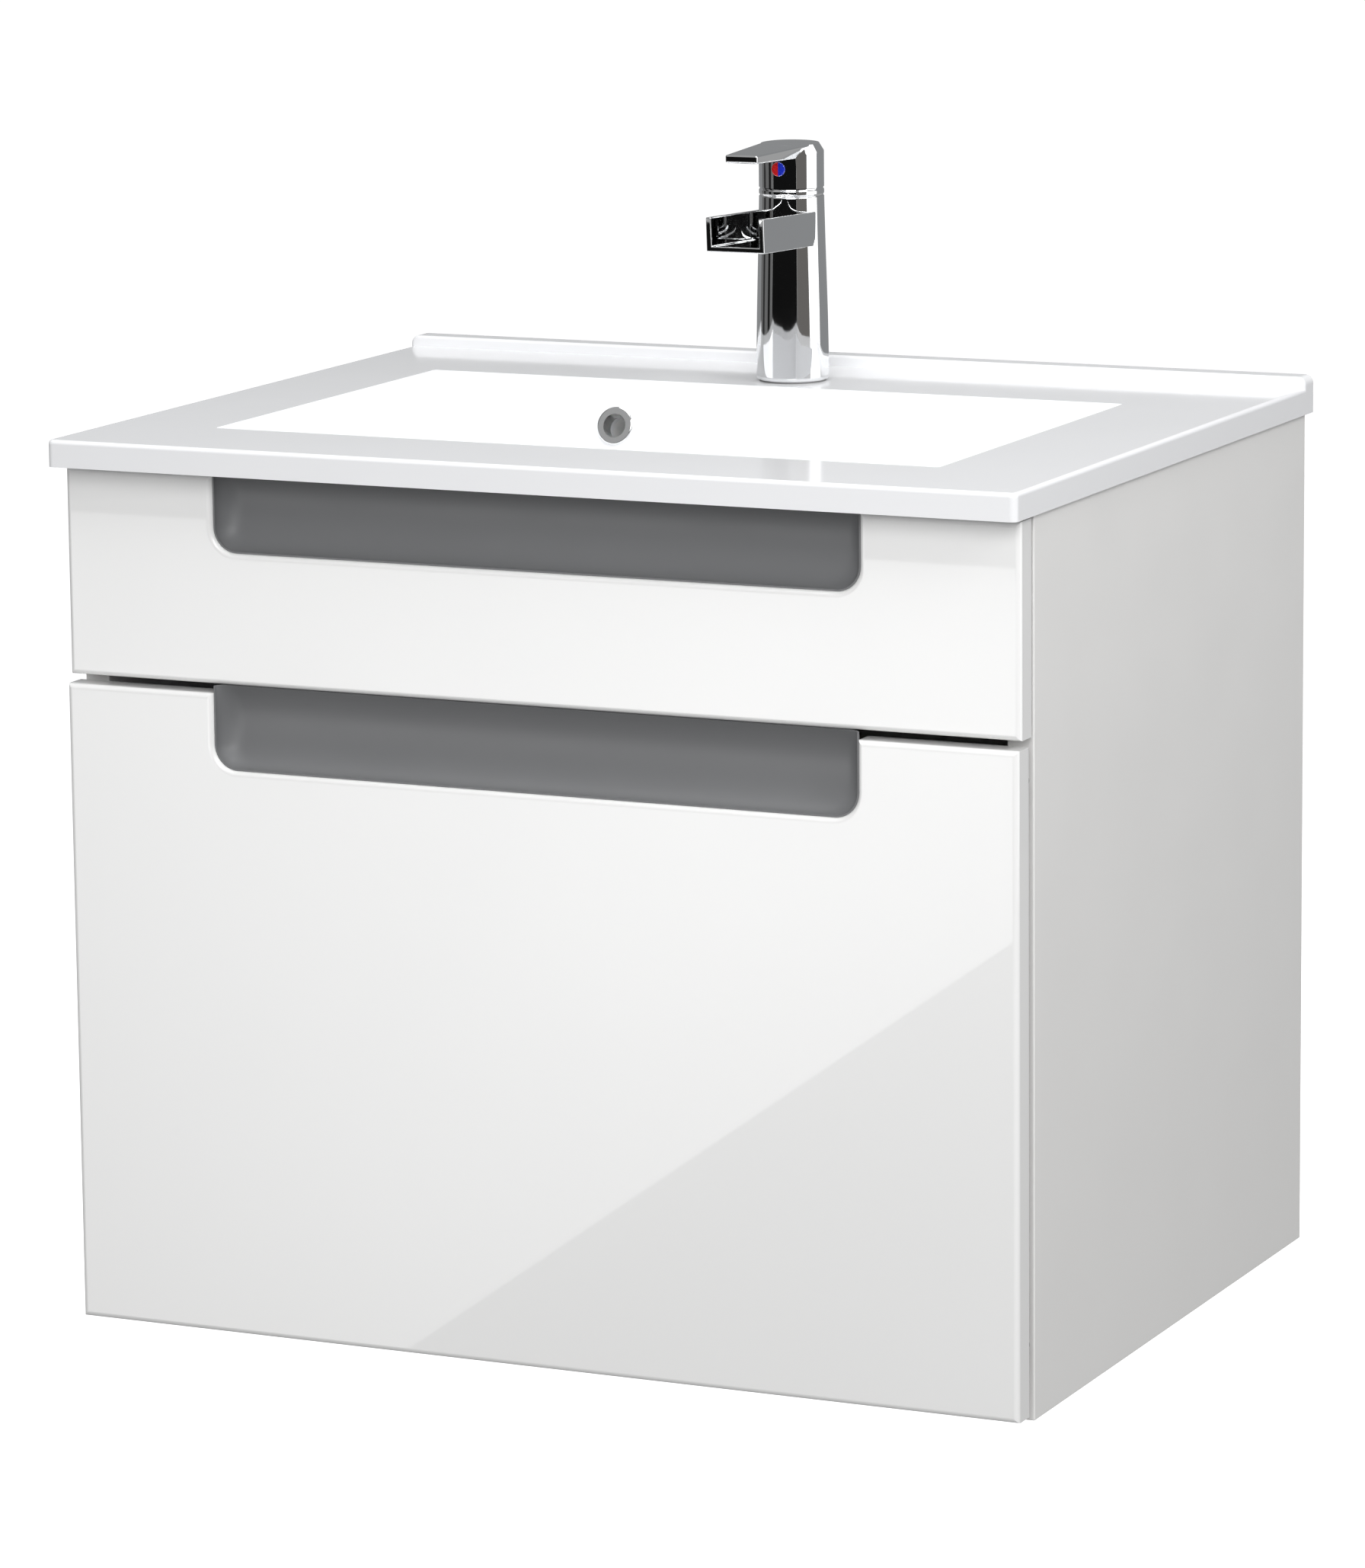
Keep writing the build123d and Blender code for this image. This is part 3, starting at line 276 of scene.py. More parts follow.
FINISHES: dict[Slot, Finish] = {
    Slot.FRONT: Lacquer(
        "white gloss lacquer", (0.885, 0.885, 0.88), (0.895, 0.895, 0.89), 3.0, (0.28, 0.34), 600.0, 0.000001,
        sockets={"Coat Weight": 1.0, "Coat Roughness": 0.02, "Coat IOR": 1.55, "IOR": 1.45},
    ),
    Slot.GRIP: Lacquer(
        "grey satin lacquer", (0.165, 0.168, 0.173), (0.18, 0.183, 0.188), 8.0, (0.42, 0.48), 700.0, 0.000001,
        sockets={"Specular IOR Level": 0.4},
    ),
    Slot.BOARD: Melamine(
        "white board", (0.80, 0.795, 0.785), (0.82, 0.815, 0.805), 4.0, (0.38, 0.46), 1800.0, 0.00001,
    ),
    Slot.DRAWER: Melamine(
        "light grey drawer board", (0.62, 0.62, 0.61), (0.66, 0.66, 0.65), 7.0, (0.45, 0.55), 1500.0, 0.00002,
    ),
    Slot.GUARD: Melamine(
        "light grey guard board", (0.63, 0.63, 0.62), (0.66, 0.66, 0.65), 9.0, (0.45, 0.55), 1500.0, 0.00002,
    ),
    Slot.DOWEL: Timber("beech", (0.62, 0.42, 0.25), (0.5, 0.33, 0.19), 30.0, (0.5, 0.65), 900.0, 0.00003),
    Slot.BASIN: Lacquer(
        "white glaze", (0.845, 0.85, 0.865), (0.86, 0.865, 0.88), 3.0, (0.09, 0.13), 400.0, 0.0000005,
        sockets={"Specular IOR Level": 0.22, "IOR": 1.5},
    ),
    Slot.CHROME: Metal(
        "polished chrome", (0.86, 0.87, 0.88), (0.9, 0.905, 0.91), 12.0, (0.02, 0.045), 500.0, 0.000001,
        sockets={"Metallic": 1.0},
    ),
    Slot.ZINC: Metal(
        "zinc plated steel", (0.56, 0.57, 0.58), (0.68, 0.69, 0.7), 40.0, (0.25, 0.4), 900.0, 0.00001,
        sockets={"Metallic": 1.0}, hairlines=(1, 0.02, 1), hairline_depth=0.00001,
    ),
    Slot.BRASS: Metal(
        "brass", (0.72, 0.5, 0.2), (0.8, 0.6, 0.28), 30.0, (0.2, 0.34), 900.0, 0.00001,
        sockets={"Metallic": 1.0},
    ),
    Slot.TRAP: Finish(
        "white polypropylene", (0.8, 0.8, 0.79), (0.83, 0.83, 0.82), 15.0, (0.3, 0.4), 1200.0, 0.00001,
        sockets={"Subsurface Weight": 0.05, "Subsurface Scale": 0.002},
    ),
    Slot.CARTRIDGE: Finish(
        "cartridge plastic", (0.55, 0.54, 0.5), (0.6, 0.59, 0.55), 25.0, (0.4, 0.5), 1200.0, 0.00001,
    ),
    Slot.RUBBER: Finish(
        "grey rubber", (0.2, 0.2, 0.2), (0.24, 0.24, 0.24), 20.0, (0.7, 0.85), 1500.0, 0.00004,
    ),
    Slot.RED: Finish(
        "red enamel", (0.6, 0.01, 0.015), (0.7, 0.02, 0.02), 200.0, (0.12, 0.2), 1500.0, 0.000004,
        sockets={"Coat Weight": 1.0, "Coat Roughness": 0.03},
    ),
    Slot.BLUE: Finish(
        "blue enamel", (0.01, 0.025, 0.5), (0.015, 0.04, 0.6), 200.0, (0.12, 0.2), 1500.0, 0.000004,
        sockets={"Coat Weight": 1.0, "Coat Roughness": 0.03},
    ),
}


class Wardrobe:
    """The finishes as materials, each made once and handed out by slot."""

    def __init__(self) -> None:
        """Starts with no material made."""
        self.made: dict[Slot, bpy.types.Material] = {}
        self.slot_of = {part["node"]: Slot(part["material_slot"]) for part in frame["record"]["subparts"]}

    def material(self, slot: Slot) -> bpy.types.Material:
        """The slot's material, made at its first use."""
        if slot not in self.made:
            self.made[slot] = FINISHES[slot].build()
        return self.made[slot]

    def dress(self, piece: bpy.types.Object, slot: Slot) -> None:
        """Gives a piece its finish in every material slot that it has.

        Args:
            piece: The object to dress.
            slot: The record's slot that names the finish.
        """
        if not piece.material_slots:
            piece.data.materials.append(self.material(slot))
        for holder in piece.material_slots:
            holder.material = self.material(slot)

    def dress_nodes(self, names: Iterable[str]) -> None:
        """Gives CAD nodes the finish that the record names for them."""
        for name in names:
            self.dress(frame["nodes"][name], self.slot_of[name])
            LOG.info("dressed %s", name)


def outline_ring(
    work: bmesh.types.BMesh, centre: tuple[float, float], width: float, height: float,
) -> list[bmesh.types.BMEdge]:
    """Adds an eight-sided ring with flats to the front, the back and the sides.

    Args:
        work: The bmesh to add to.
        centre: The ring's X and Y.
        width: Across the flats.
        height: The ring's Z.

    Returns:
        The ring's edges.
    """
    radius = width / 2 / math.cos(HALF_SIDE)
    place = Matrix.Translation((*centre, height)) @ Matrix.Rotation(HALF_SIDE, 4, "Z")
    made = bmesh.ops.create_circle(work, cap_ends=False, segments=SIDES, radius=radius, matrix=place)["verts"]
    return [edge for edge in work.edges if edge.verts[0] in made and edge.verts[1] in made]


def round_edges(
    work: bmesh.types.BMesh, edges: Iterable[bmesh.types.BMEdge], offset: float, segments: int,
) -> None:
    """Rounds edges with a bevel of a circular profile.

    Args:
        work: The bmesh to change.
        edges: The edges to round.
        offset: How far the rounding reaches along the faces.
        segments: Facets across the rounding.
    """
    bmesh.ops.bevel(work, geom=list(edges), offset=offset, segments=segments, affect="EDGES", profile=0.5,
                    material=-1, clamp_overlap=True)


def sharp_edges(work: bmesh.types.BMesh, least: float = 30.0) -> list[bmesh.types.BMEdge]:
    """The edges whose faces meet at more than an angle in degrees."""
    limit = math.radians(least)
    return [edge for edge in work.edges if len(edge.link_faces) == 2 and edge.calc_face_angle(0.0) > limit]


def slab(work: bmesh.types.BMesh, low: Point, high: Point) -> list[bmesh.types.BMVert]:
    """Adds a box between two corners.

    Args:
        work: The bmesh to add to.
        low: The lowest corner.
        high: The highest corner.

    Returns:
        The box's vertices.
    """
    middle = [(a + b) / 2 for a, b in zip(low, high)]
    size = [b - a for a, b in zip(low, high)]
    place = Matrix.Translation(middle) @ Matrix.Diagonal((*size, 1.0))
    return bmesh.ops.create_cube(work, size=1.0, matrix=place)["verts"]


@dataclass
class Bench:
    """Turns finished bmeshes into pieces that ride on a body and carry a slot's finish."""

    wardrobe: Wardrobe

    def piece(
        self, title: str, work: bmesh.types.BMesh, body: str, slot: Slot, stands_for: Iterable[str] = (),
        sharp: float = 32.0, flat: bool = False,
    ) -> bpy.types.Object:
        """Makes a piece of the part.

        Args:
            title: The piece's name.
            work: The bmesh, which is freed.
            body: The CAD body that the piece rides on.
            slot: The record's slot for the finish.
            stands_for: CAD nodes that the piece replaces.
            sharp: The angle in degrees above which an edge stays sharp in the shading.
            flat: Whether wide faces keep a level shading between their rounded edges.

        Returns:
            The piece.
        """
        bmesh.ops.remove_doubles(work, verts=work.verts[:], dist=MERGE)
        bmesh.ops.recalc_face_normals(work, faces=work.faces[:])
        mesh = bpy.data.meshes.new(title)
        work.to_mesh(mesh)
        work.free()
        mesh.shade_smooth()
        mesh.set_sharp_from_angle(angle=math.radians(sharp))
        piece = bpy.data.objects.new(title, mesh)
        bpy.context.scene.collection.objects.link(piece)
        self.wardrobe.dress(piece, slot)
        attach(piece, body)
        if stands_for:
            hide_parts(*stands_for)
        if flat:
            piece.modifiers.new("flat faces", "WEIGHTED_NORMAL").keep_sharp = True
        LOG.info("made %s: %d faces on %s", title, len(mesh.polygons), body)
        return piece

    def joined(self, title: str, first: bmesh.types.BMesh, second: bmesh.types.BMesh) -> bmesh.types.BMesh:
        """Joins two closed solids into one skin.

        Args:
            title: A name for the joined mesh.
            first: One solid, which is freed.
            second: The other solid, which is freed.

        Returns:
            The joined solid.
        """
        holders = []
        for work in (first, second):
            bmesh.ops.recalc_face_normals(work, faces=work.faces[:])
            mesh = bpy.data.meshes.new(title)
            work.to_mesh(mesh)
            work.free()
            holder = bpy.data.objects.new(title, mesh)
            bpy.context.scene.collection.objects.link(holder)
            holders.append(holder)
        union = holders[0].modifiers.new("union", "BOOLEAN")
        union.operation, union.solver, union.object = "UNION", "MANIFOLD", holders[1]
        ready = holders[0].evaluated_get(bpy.context.evaluated_depsgraph_get())
        solid = bpy.data.meshes.new_from_object(ready)
        result = bmesh.new()
        result.from_mesh(solid)
        for holder in holders:
            bpy.data.meshes.remove(holder.data)
        bpy.data.meshes.remove(solid)
        return result


@dataclass
class Carcass:
    """The cabinet's boards with their dowels, slide screws and closing pads."""

    bench: Bench
    boards: tuple[str, ...] = (
        "side_panel_left", "side_panel_right", "bottom_panel", "front_rail",
        "rear_fixing_rail", "rear_lower_rail", "back_panel",
    )
    fixings: tuple[str, ...] = ("carcass_dowels", "closing_pads", "slide_screws")

    def build(self) -> None:
        """Dresses the boards and what joins them."""
        self.bench.wardrobe.dress_nodes(self.boards + self.fixings)


@dataclass
class WallFixing:
    """The wall rail, the hooks that hang on it and the spacers below."""

    bench: Bench
    nodes: tuple[str, ...] = ("wall_rail", "cabinet_hooks", "wall_spacers")

    def build(self) -> None:
        """Dresses the sheet metal and the spacers."""
        self.bench.wardrobe.dress_nodes(self.nodes)


@dataclass
class GripRecess:
    """The grey scooped insert in the middle of a front's top edge."""

    bench: Bench
    level: str
    depth: float = 0.013
    wall: float = 0.001
    flange: float = 0.008
    flange_thickness: float = 0.002
    corner: float = 0.014
    floor_cove: float = 0.026
    overhang: float = 0.9
    end_cove: float = 0.013
    headroom: float = 0.0042
    sharp: float = 50.0
    columns: int = 96
    rows: int = 40
    crowding: float = 2.2

    def build(self) -> None:
        """Makes the scoop with its flange, in place of the plain insert."""
        low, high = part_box(f"{self.level}_grip")
        self.half = (high.x - low.x) / 2 - self.flange - self.wall
        self.centre = (high.x + low.x) / 2
        self.face = low.y
        self.back = high.y
        self.floor = low.z + self.flange + self.wall
        self.top = high.z
        work = self.scoop()
        self.add_flange(work)
        grip, body = f"{self.level}_grip", f"{self.level}_drawer"
        self.bench.piece(f"{grip}_scoop", work, body, Slot.GRIP, [grip], sharp=self.sharp)

    def half_width(self, rise: float) -> float:
        """Half of the mouth's width at a height above its floor."""
        if rise >= self.corner:
            return self.half
        return self.half - self.corner + math.sqrt(self.corner**2 - (self.corner - rise) ** 2)

    def hollow(self, across: float, rise: float) -> float:
        """The scoop's depth, which grows inwards from its ends and its floor along quarters of ellipses.

        Args:
            across: Distance from the middle, along X.
            rise: Height above the floor of the mouth.

        Returns:
            The depth behind the mouth.
        """
        deep = self.depth
        for distance, cove in ((self.half_width(rise) - abs(across), self.end_cove), (rise, self.floor_cove)):
            share = min(1.0, max(0.0, distance / cove))
            deep *= math.sqrt(1.0 - (1.0 - share) ** 2)
        return deep * (1.0 - self.overhang * max(0.0, (rise - self.floor_cove) / self.floor_cove) ** 2)

    def scoop(self) -> bmesh.types.BMesh:
        """Makes the hollow from a grid that is bent into the mouth and pushed back.

        Returns:
            The hollow with its wall's thickness.
        """
        work = bmesh.new()
        bmesh.ops.create_grid(work, x_segments=self.columns, y_segments=self.rows, size=1.0)
        for vert in work.verts:
            rise = (self.top + self.headroom - self.floor) * ((vert.co.y + 1) / 2) ** self.crowding
            run = math.copysign(1 - (1 - abs(vert.co.x)) ** self.crowding, vert.co.x)
            across = run * self.half_width(rise)
            deep = self.hollow(across, rise)
            vert.co = (self.centre + across, self.face + deep, self.floor + rise)
        bmesh.ops.recalc_face_normals(work, faces=work.faces[:])
        if sum(face.normal.y for face in work.faces) > 0:
            bmesh.ops.reverse_faces(work, faces=work.faces[:])
        bmesh.ops.solidify(work, geom=work.faces[:], thickness=self.wall)
        return work

    def add_flange(self, work: bmesh.types.BMesh) -> None:
        """Adds the U-shaped flange behind the front.

        Args:
            work: The scoop's bmesh.
        """
        reach = self.half + self.wall
        low, deep = self.back - self.flange_thickness, self.back
        for x_low, x_high, z_low, z_high in (
            (-reach - self.flange, -reach, self.floor - self.flange, self.top),
            (reach, reach + self.flange, self.floor - self.flange, self.top),
            (-reach, reach, self.floor - self.flange, self.floor - self.wall),
        ):
            slab(work, (self.centre + x_low, low, z_low), (self.centre + x_high, deep, z_high))


@dataclass
class Drawer:
    """A drawer: its gloss front with the grip recess, its box and its slides."""

    bench: Bench
    level: str
    grip_headroom: float

    def build(self) -> None:
        """Dresses the drawer's nodes and makes its grip recess."""
        own = [name for name in sorted(frame["nodes"]) if name.startswith(f"{self.level}_")]
        self.bench.wardrobe.dress_nodes(own)
        GripRecess(self.bench, self.level, headroom=self.grip_headroom).build()


@dataclass
class Basin:
    """The ceramic slab with its bowl, overflow and waste fitting."""

    bench: Bench
    nodes: tuple[str, ...] = (
        "basin", "overflow_ring", "overflow_pipe", "waste_body", "waste_gasket", "waste_nut", "waste_plug",
    )

    def build(self) -> None:
        """Dresses the basin and its fittings."""
        self.bench.wardrobe.dress_nodes(self.nodes)


@dataclass
class Trap:
    """The bottle trap with its pipes, nuts and wall rosette."""

    bench: Bench
    nodes: tuple[str, ...] = ("trap_tail", "trap_bottle", "trap_outlet_pipe", "union_nuts", "wall_rosette")

    def build(self) -> None:
        """Dresses the trap."""
        self.bench.wardrobe.dress_nodes(self.nodes)


@dataclass
class Mixer:
    """The chrome lever mixer: column, collar, handle with its lever, and open trough spout."""

    bench: Bench
    facet_rounding: float = 0.4  # share of a flat's width
    facet_segments: int = 7
    end_rounding: float = 0.0006
    foot_height: float = 0.0015
    foot_inset: float = 0.0008
    support: float = 0.0012
    # heights above the foot, and the share of the foot's extra width left there
    taper: tuple[tuple[float, float], ...] = ((0.020, 0.93), (0.040, 0.78), (0.060, 0.56), (0.085, 0.26))
    collar_groove: float = 0.0008
    collar_groove_depth: float = 0.0005
    collar_steps: tuple[float, ...] = (1.0, 1.4, 2.0)
    shoulder: float = 0.005
    shrink: float = 0.002
    ridge: float = 0.012
    tip_width: float = 0.021
    tip_thickness: float = 0.005
    tip_fall: float = 0.0015
    root_top: float = 0.0336
    root_bottom: float = 0.020
    root_thickness: float = 0.0085
    root_sink: float = 0.001
    lever_sink: float = 0.00004
    lever_rounding: float = 0.0011
    roof_rounding: float = 0.0009
    relief_start: float = 0.010
    relief_rise: float = 0.0046
    relief_run: float = 0.012
    spout_height: float = 0.021
    spout_wall: float = 0.0034
    spout_rounding: float = 0.0007
    mouth_lean: float = 0.0012
    cheek_slant: float = 0.004
    cheek_cut: float = 0.006
    fittings: tuple[str, ...] = (
        "faucet_cartridge", "faucet_clamp", "faucet_gasket", "faucet_inlets", "faucet_nut",
        "faucet_stem", "faucet_stud", "cartridge_disc", "red_mark", "blue_mark",
    )

    def build(self) -> None:
        """Makes the four chrome pieces and dresses the rest."""
        low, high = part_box("faucet_collar")
        self.axis = ((low.x + high.x) / 2, (low.y + high.y) / 2)
        self.collar_low, self.collar_high = low.z, high.z
        self.top_width = high.x - low.x
        low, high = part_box("faucet_body")
        self.base_width = high.x - low.x
        self.build_column()
        self.build_collar()
        self.build_handle()
        self.build_spout()
        self.bench.wardrobe.dress_nodes(self.fittings)

    def tower(self, rings: Iterable[tuple[float, float, float]], lip: float) -> bmesh.types.BMesh:
        """Makes a closed eight-sided solid with softly rounded facets.

        Args:
            rings: Height, width across the flats and shift along Y of each ring, from below.
            lip: Rounding of the two end edges.

        Returns:
            The solid.
        """
        work = bmesh.new()
        loops = [
            outline_ring(work, (self.axis[0], self.axis[1] + shift), width, height)
            for height, width, shift in rings
        ]
        for below, above in zip(loops, loops[1:]):
            bmesh.ops.bridge_loops(work, edges=below + above)
        bmesh.ops.holes_fill(work, edges=loops[0] + loops[-1], sides=SIDES)
        upright = [edge for edge in work.edges if abs(edge.verts[0].co.z - edge.verts[1].co.z) > LEVEL]
        facet = self.top_width * math.tan(HALF_SIDE)
        round_edges(work, upright, facet * self.facet_rounding, self.facet_segments)
        bmesh.ops.recalc_face_normals(work, faces=work.faces[:])
        if lip:
            ends = {edge for face in work.faces if abs(face.normal.z) > 0.999 for edge in face.edges}
            round_edges(work, ends, lip, 3)
        return work

    def build_column(self) -> None:
        """Makes the tapering column on its foot."""
        low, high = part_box("faucet_body")
        spread = self.base_width - self.top_width
        rings = [
            (low.z, self.base_width - 2 * self.foot_inset, 0.0),
            (low.z + self.foot_height, self.base_width, 0.0),
            (low.z + self.foot_height + self.support, self.base_width, 0.0),
        ]
        rings += [(low.z + rise, self.top_width + share * spread, 0.0) for rise, share in self.taper]
        rings += [(high.z - self.support, self.top_width, 0.0), (high.z, self.top_width, 0.0)]
        work = self.tower(rings, self.end_rounding)
        self.bench.piece("mixer_column", work, "cabinet", Slot.CHROME, ["faucet_body"], sharp=40.0)

    def build_collar(self) -> None:
        """Makes the collar with its rounded band between two grooves."""
        wide = self.top_width
        profile = zip((0.0, *self.collar_steps), (2.0, 2.0, 0.5, 0.0))
        groove, depth = self.collar_groove, self.collar_groove_depth
        half = [(step * groove, wide - share * depth) for step, share in profile]
        rings = [(self.collar_low + rise, width, 0.0) for rise, width in half]
        rings += [(self.collar_high - drop, width, 0.0) for drop, width in reversed(half)]
        work = self.tower(rings, 0.0)
        self.bench.piece("mixer_collar", work, "cabinet", Slot.CHROME, ["faucet_collar"], sharp=60.0)

    def roof(self, y: float) -> float:
        """Height of the roof that falls from the ridge to the lever's tip."""
        return self.handle_high - self.tip_fall * (self.ridge_y - y) / (self.ridge_y - self.tip_y)

    def build_handle(self) -> None:
        """Makes the handle: its body under a sloping roof, with the lever flush in front."""
        low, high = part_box("faucet_handle")
        self.handle_low, self.handle_high = low.z, high.z
        self.tip_y = low.y
        self.ridge_y = self.axis[1] + self.ridge
        body = self.tower((
            (low.z, self.top_width, 0.0),
            (low.z + self.support, self.top_width, 0.0),
            (high.z - self.shoulder - self.support, self.top_width, 0.0),
            (high.z - self.shoulder, self.top_width, 0.0),
            (high.z, self.top_width - 2 * self.shrink, -self.shrink),
        ), 0.0)
        slope = Vector((0, -self.tip_fall, self.ridge_y - self.tip_y)).normalized()
        self.trim(body, Vector((0, self.ridge_y, high.z)), slope)
        relief = Vector((0, self.relief_rise, -self.relief_run)).normalized()
        self.trim(body, Vector((0, self.axis[1] + self.relief_start, low.z)), relief)
        tops = {edge for face in body.faces if face.normal.z > 0.9 for edge in face.edges}
        round_edges(body, tops, self.roof_rounding, 3)
        work = self.bench.joined("handle", body, self.lever())
        self.bench.piece(
            "mixer_handle", work, "mixer_lever", Slot.CHROME, ["faucet_handle"], sharp=30.0, flat=True,
        )

    def trim(self, work: bmesh.types.BMesh, point: Vector, normal: Vector) -> None:
        """Cuts away what lies beyond a plane and closes the cut.

        Args:
            work: The solid to trim.
            point: A point of the plane.
            normal: The side that goes.
        """
        cut = bmesh.ops.bisect_plane(
            work, geom=work.verts[:] + work.edges[:] + work.faces[:], dist=MERGE / 10,
            plane_co=point, plane_no=normal, clear_outer=True,
        )["geom_cut"]
        edges = [item for item in cut if isinstance(item, bmesh.types.BMEdge)]
        if edges:
            bmesh.ops.holes_fill(work, edges=edges, sides=0)
        bmesh.ops.recalc_face_normals(work, faces=work.faces[:])

    def lever(self) -> bmesh.types.BMesh:
        """Makes the lever, whose sides lean in below where it meets the body.

        Returns:
            The lever as a closed solid.
        """
        work = bmesh.new()
        root_y = self.axis[1] - self.top_width / 4 + self.root_sink
        for vert in bmesh.ops.create_cube(work, size=2.0)["verts"]:
            side, along, up = vert.co
            y = self.tip_y if along < 0 else root_y
            top, bottom, thickness = (
                (self.tip_width, self.tip_width, self.tip_thickness) if along < 0
                else (self.root_top, self.root_bottom, self.root_thickness)
            )
            z = self.roof(y) - self.lever_sink - (0.0 if up > 0 else thickness)
            vert.co = (self.axis[0] + side * (top if up > 0 else bottom) / 2, y, z)
        round_edges(work, work.edges[:], self.lever_rounding, 4)
        return work

    def build_spout(self) -> None:
        """Makes the open trough with its two cheeks beside the column."""
        low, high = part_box("faucet_spout")
        half = (high.x - low.x) / 2
        tip, back = low.y, high.y
        stop = self.axis[1] - self.base_width / 2
        work = bmesh.new()
        rise = (high.z - low.z) - self.spout_height
        profile = (
            (tip, high.z),
            (tip + self.mouth_lean, low.z + rise),
            (stop, low.z + rise * (stop - back) / (tip - back)),
            (back - self.cheek_slant, low.z),
            (back, low.z + self.cheek_cut),
            (back, high.z - rise),
        )
        cheeks = []
        for side in (-1, 1):
            corners = [work.verts.new((self.axis[0] + side * half, y, z)) for y, z in profile]
            bmesh.ops.contextual_create(work, geom=corners)
            cheeks.append(corners)
        bmesh.ops.contextual_create(work, geom=[cheeks[0][1], cheeks[0][2], cheeks[1][2], cheeks[1][1]])
        bmesh.ops.recalc_face_normals(work, faces=work.faces[:])
        floor = next(face for face in work.faces if abs(face.normal.z) > 0.5)
        if floor.normal.z > 0:
            bmesh.ops.reverse_faces(work, faces=work.faces[:])
        bmesh.ops.solidify(work, geom=work.faces[:], thickness=self.spout_wall)
        bmesh.ops.recalc_face_normals(work, faces=work.faces[:])
        round_edges(work, sharp_edges(work), self.spout_rounding, 4)
        self.bench.piece("mixer_spout", work, "cabinet", Slot.CHROME, ["faucet_spout"], sharp=40.0, flat=True)


def stage_piece(title: str, work: bmesh.types.BMesh) -> bpy.types.Object:
    """Makes a piece of the studio from a finished bmesh.

    Args:
        title: The object's name.
        work: The bmesh, which is freed.

    Returns:
        The object, linked to the scene.
    """
    mesh = bpy.data.meshes.new(title)
    work.to_mesh(mesh)
    work.free()
    piece = bpy.data.objects.new(title, mesh)
    bpy.context.scene.collection.objects.link(piece)
    return piece


def card_graph(title: str, glow: float, tint: Colour = (1, 1, 1)) -> Graph:
    """Starts the material of a studio card.

    Args:
        title: The material's name.
        glow: How bright the card is.
        tint: The colour of its glow.

    Returns:
        The graph of a card that glows evenly and reflects nothing.
    """
    graph = Graph(title)
    graph.shader.inputs["Base Color"].default_value = (0, 0, 0, 1)
    graph.shader.inputs["Roughness"].default_value = 1.0
    graph.shader.inputs["Specular IOR Level"].default_value = 0.0
    graph.shader.inputs["Emission Color"].default_value = (*tint, 1)
    graph.shader.inputs["Emission Strength"].default_value = glow
    return graph


def reflection_only(card: bpy.types.Object) -> None:
    """Hides a card from the camera, from soft light and from shadows."""
    card.visible_camera = False
    card.visible_diffuse = False
    card.visible_shadow = False


@dataclass
class Card:
    """A card standing round the part that only shows in reflections.

    Azimuths run from the front (0) to the right (90), seen from above.
    """

    title: str
    azimuths: tuple[float, float]
    heights: tuple[float, float]
    glow: float
    radius: float = 2.2
    centre: tuple[float, float] = (0.0, -0.1)
    bend: int = 6
    tint: Colour = (1, 1, 1)

    def build(self) -> bpy.types.Object:
        """Makes the card.

        Returns:
            The card, hidden from the camera and from soft light.
        """
        work = bmesh.new()
        start, end = (math.radians(angle) for angle in self.azimuths)
        low, high = self.heights
        across, along = self.radius * math.sin(start), self.radius * math.cos(start)
        foot = Vector((self.centre[0] + across, self.centre[1] - along, low))
        first = work.verts.new(foot)
        last = work.verts.new(foot + Vector((0, 0, high - low)))
        edge = work.edges.new((first, last))
        bmesh.ops.spin(
            work, geom=[first, last, edge], cent=(*self.centre, 0.0), axis=(0, 0, 1),
            angle=end - start, steps=self.bend,
        )
        card = stage_piece(self.title, work)
        card.data.materials.append(card_graph(self.title, self.glow, self.tint).material)
        reflection_only(card)
        return card


@dataclass
class Reflector:
    """A bright flat card in front of the part, which the gloss fronts show up to its slanted edge."""

    corners: tuple[Point, ...] = (
        (-1.2, -1.45, -0.765), (-0.604, -1.45, -0.765), (0.273, -1.45, -0.135), (-1.2, -1.45, -0.135),
    )
    middle: Point = (-0.3, -1.45, -0.25)
    reach: float = 1.3
    glow: float = 2.5
    rim: Colour = (0.3, 0.3, 0.3)

    def build(self) -> bpy.types.Object:
        """Makes the reflector, brightest about its middle.

        Returns:
            The reflector, hidden from the camera and from soft light.
        """
        work = bmesh.new()
        bmesh.ops.contextual_create(work, geom=[work.verts.new(corner) for corner in self.corners])
        card = stage_piece("reflector", work)
        graph = card_graph("reflector", self.glow)
        scale = 1.0 / self.reach
        offset = tuple(-scale * value for value in self.middle)
        ball = graph.node("Mapping", {"Vector": graph.place, "Location": offset, "Scale": (scale,) * 3})
        fall = graph.node("TexGradient", {"Vector": ball.outputs["Vector"]}, gradient_type="SPHERICAL")
        glow = graph.blend(fall.outputs["Fac"], self.rim, (1, 1, 1))
        graph.feed(graph.shader.inputs["Emission Color"], glow)
        card.data.materials.append(graph.material)
        reflection_only(card)
        return card


@dataclass
class Lamp:
    """A soft rectangular lamp, aimed at a point."""

    title: str
    place: Point
    aim: Point
    size: tuple[float, float]
    power: float
    colour: Colour = (1, 1, 1)

    def build(self) -> bpy.types.Object:
        """Makes the lamp.

        Returns:
            The lamp, hidden from the camera.
        """
        light = bpy.data.lights.new(self.title, "AREA")
        light.shape = "RECTANGLE"
        light.size, light.size_y = self.size
        light.energy = self.power
        light.color = self.colour
        lamp = bpy.data.objects.new(self.title, light)
        lamp.location = self.place
        lamp.rotation_euler = (Vector(self.aim) - Vector(self.place)).to_track_quat("-Z", "Y").to_euler()
        lamp.visible_camera = False
        bpy.context.scene.collection.objects.link(lamp)
        return lamp


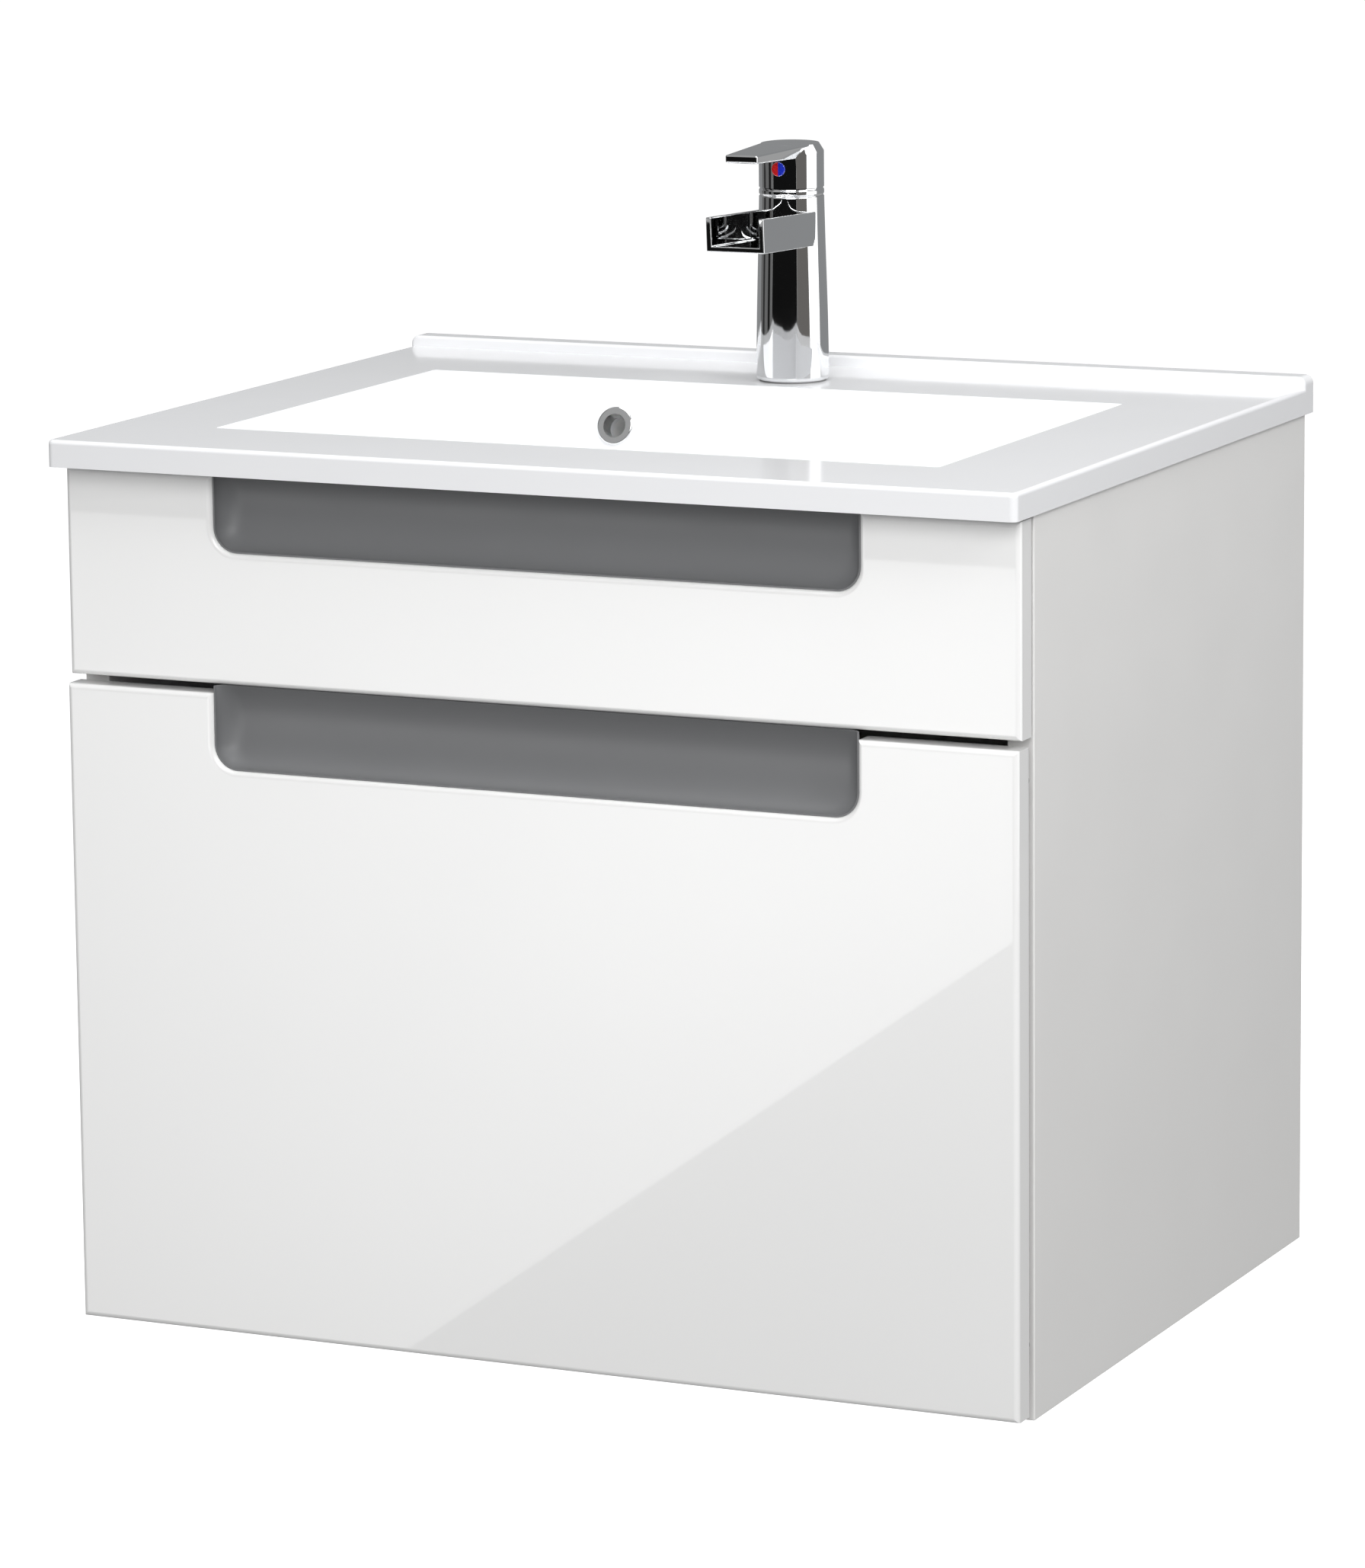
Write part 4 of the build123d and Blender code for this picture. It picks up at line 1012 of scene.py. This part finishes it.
@dataclass
class Studio:
    """The pale floor, the soft lights, the reflected cards and the camera."""

    floor_z: float = -0.775
    floor_size: float = 120.0
    camera_place: Point = (1.67595, -3.88545, 0.61425)
    camera_turn: Point = (79.87464, 0.56309, 24.71635)
    lens: float = 156.4706
    sensor: float = 36.0
    shift_y: float = -0.04859
    clip_end: float = 400.0
    sky: float = 0.36
    floor_tones: tuple[Colour, Colour] = ((0.9, 0.9, 0.9), (0.91, 0.91, 0.91))
    floor_glow: float = 0.72

    def build(self) -> None:
        """Makes the floor, the sky, the lamps, the cards and the camera."""
        self.build_floor()
        self.build_sky()
        for lamp in (
            Lamp("key", (0.9, -2.5, 1.1), (0, -0.3, -0.1), (1.6, 1.6), 39.0),
            Lamp("top", (0.0, -0.7, 2.4), (0, -0.3, 0), (1.8, 1.8), 31.0),
            Lamp("side", (1.9, -0.7, 1.3), (0.3, -0.25, 0.05), (1.0, 1.0), 19.0),
        ):
            lamp.build()
        for card in (
            Card("back wall", (125, 250), (-0.76, 3.0), 0.27, 3.0, tint=(0.96, 0.98, 1.0)),
            Card("dark front", (-42, 42), (-0.11, 0.5), 0.006, 1.5),
            Card("right grey", (43, 74), (-0.3, 1.5), 0.14, 2.0, tint=(1.0, 0.95, 0.9)),
            Card("left stripe", (-64, -54), (-0.3, 1.5), 0.01, 1.8),
            Card("left edge stripe", (-92, -80), (-0.3, 1.5), 0.03, 1.8),
            Card("right strip", (75, 124), (-0.5, 1.5), 1.6, 2.0),
            Card("left grey", (-110, -43), (-0.3, 1.5), 0.14, 2.0),
        ):
            card.build()
        Reflector().build()
        self.build_camera()

    def build_floor(self) -> None:
        """Makes the floor."""
        work = bmesh.new()
        place = Matrix.Translation((0, 0, self.floor_z))
        bmesh.ops.create_grid(work, x_segments=1, y_segments=1, size=self.floor_size, matrix=place)
        floor = stage_piece("floor", work)
        graph = Graph("pale floor")
        graph.feed(graph.shader.inputs["Base Color"], graph.blend(graph.noise(2.0), *self.floor_tones))
        graph.shader.inputs["Roughness"].default_value = 0.9
        graph.shader.inputs["Emission Color"].default_value = (1, 1, 1, 1)
        graph.shader.inputs["Emission Strength"].default_value = self.floor_glow
        floor.data.materials.append(graph.material)
        floor.visible_diffuse = False
        floor.visible_glossy = False

    def build_sky(self) -> None:
        """Makes the even sky and sets how brightness is shown."""
        world = bpy.data.worlds.new("sky")
        world.use_nodes = True
        background = world.node_tree.nodes["Background"]
        background.inputs["Color"].default_value = (1.0, 1.0, 1.0, 1.0)
        background.inputs["Strength"].default_value = self.sky
        bpy.context.scene.world = world
        bpy.context.scene.view_settings.view_transform = "Standard"

    def build_camera(self) -> None:
        """Makes the camera."""
        data = bpy.data.cameras.new("camera")
        data.lens = self.lens
        data.sensor_width = self.sensor
        data.shift_y = self.shift_y
        data.clip_end = self.clip_end
        camera = bpy.data.objects.new("camera", data)
        camera.location = self.camera_place
        camera.rotation_euler = tuple(math.radians(angle) for angle in self.camera_turn)
        bpy.context.scene.collection.objects.link(camera)
        bpy.context.scene.camera = camera


def main() -> None:
    """Builds the sub-assemblies and the studio."""
    logging.basicConfig(level=logging.INFO, format="%(message)s")
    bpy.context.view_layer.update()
    bench = Bench(Wardrobe())
    for assembly in (
        Carcass(bench),
        Drawer(bench, "upper", grip_headroom=0.0042),
        Drawer(bench, "lower", grip_headroom=0.0074),
        Basin(bench),
        Trap(bench),
        Mixer(bench),
        WallFixing(bench),
    ):
        assembly.build()
    Studio().build()


if __name__ == "__main__":
    main()
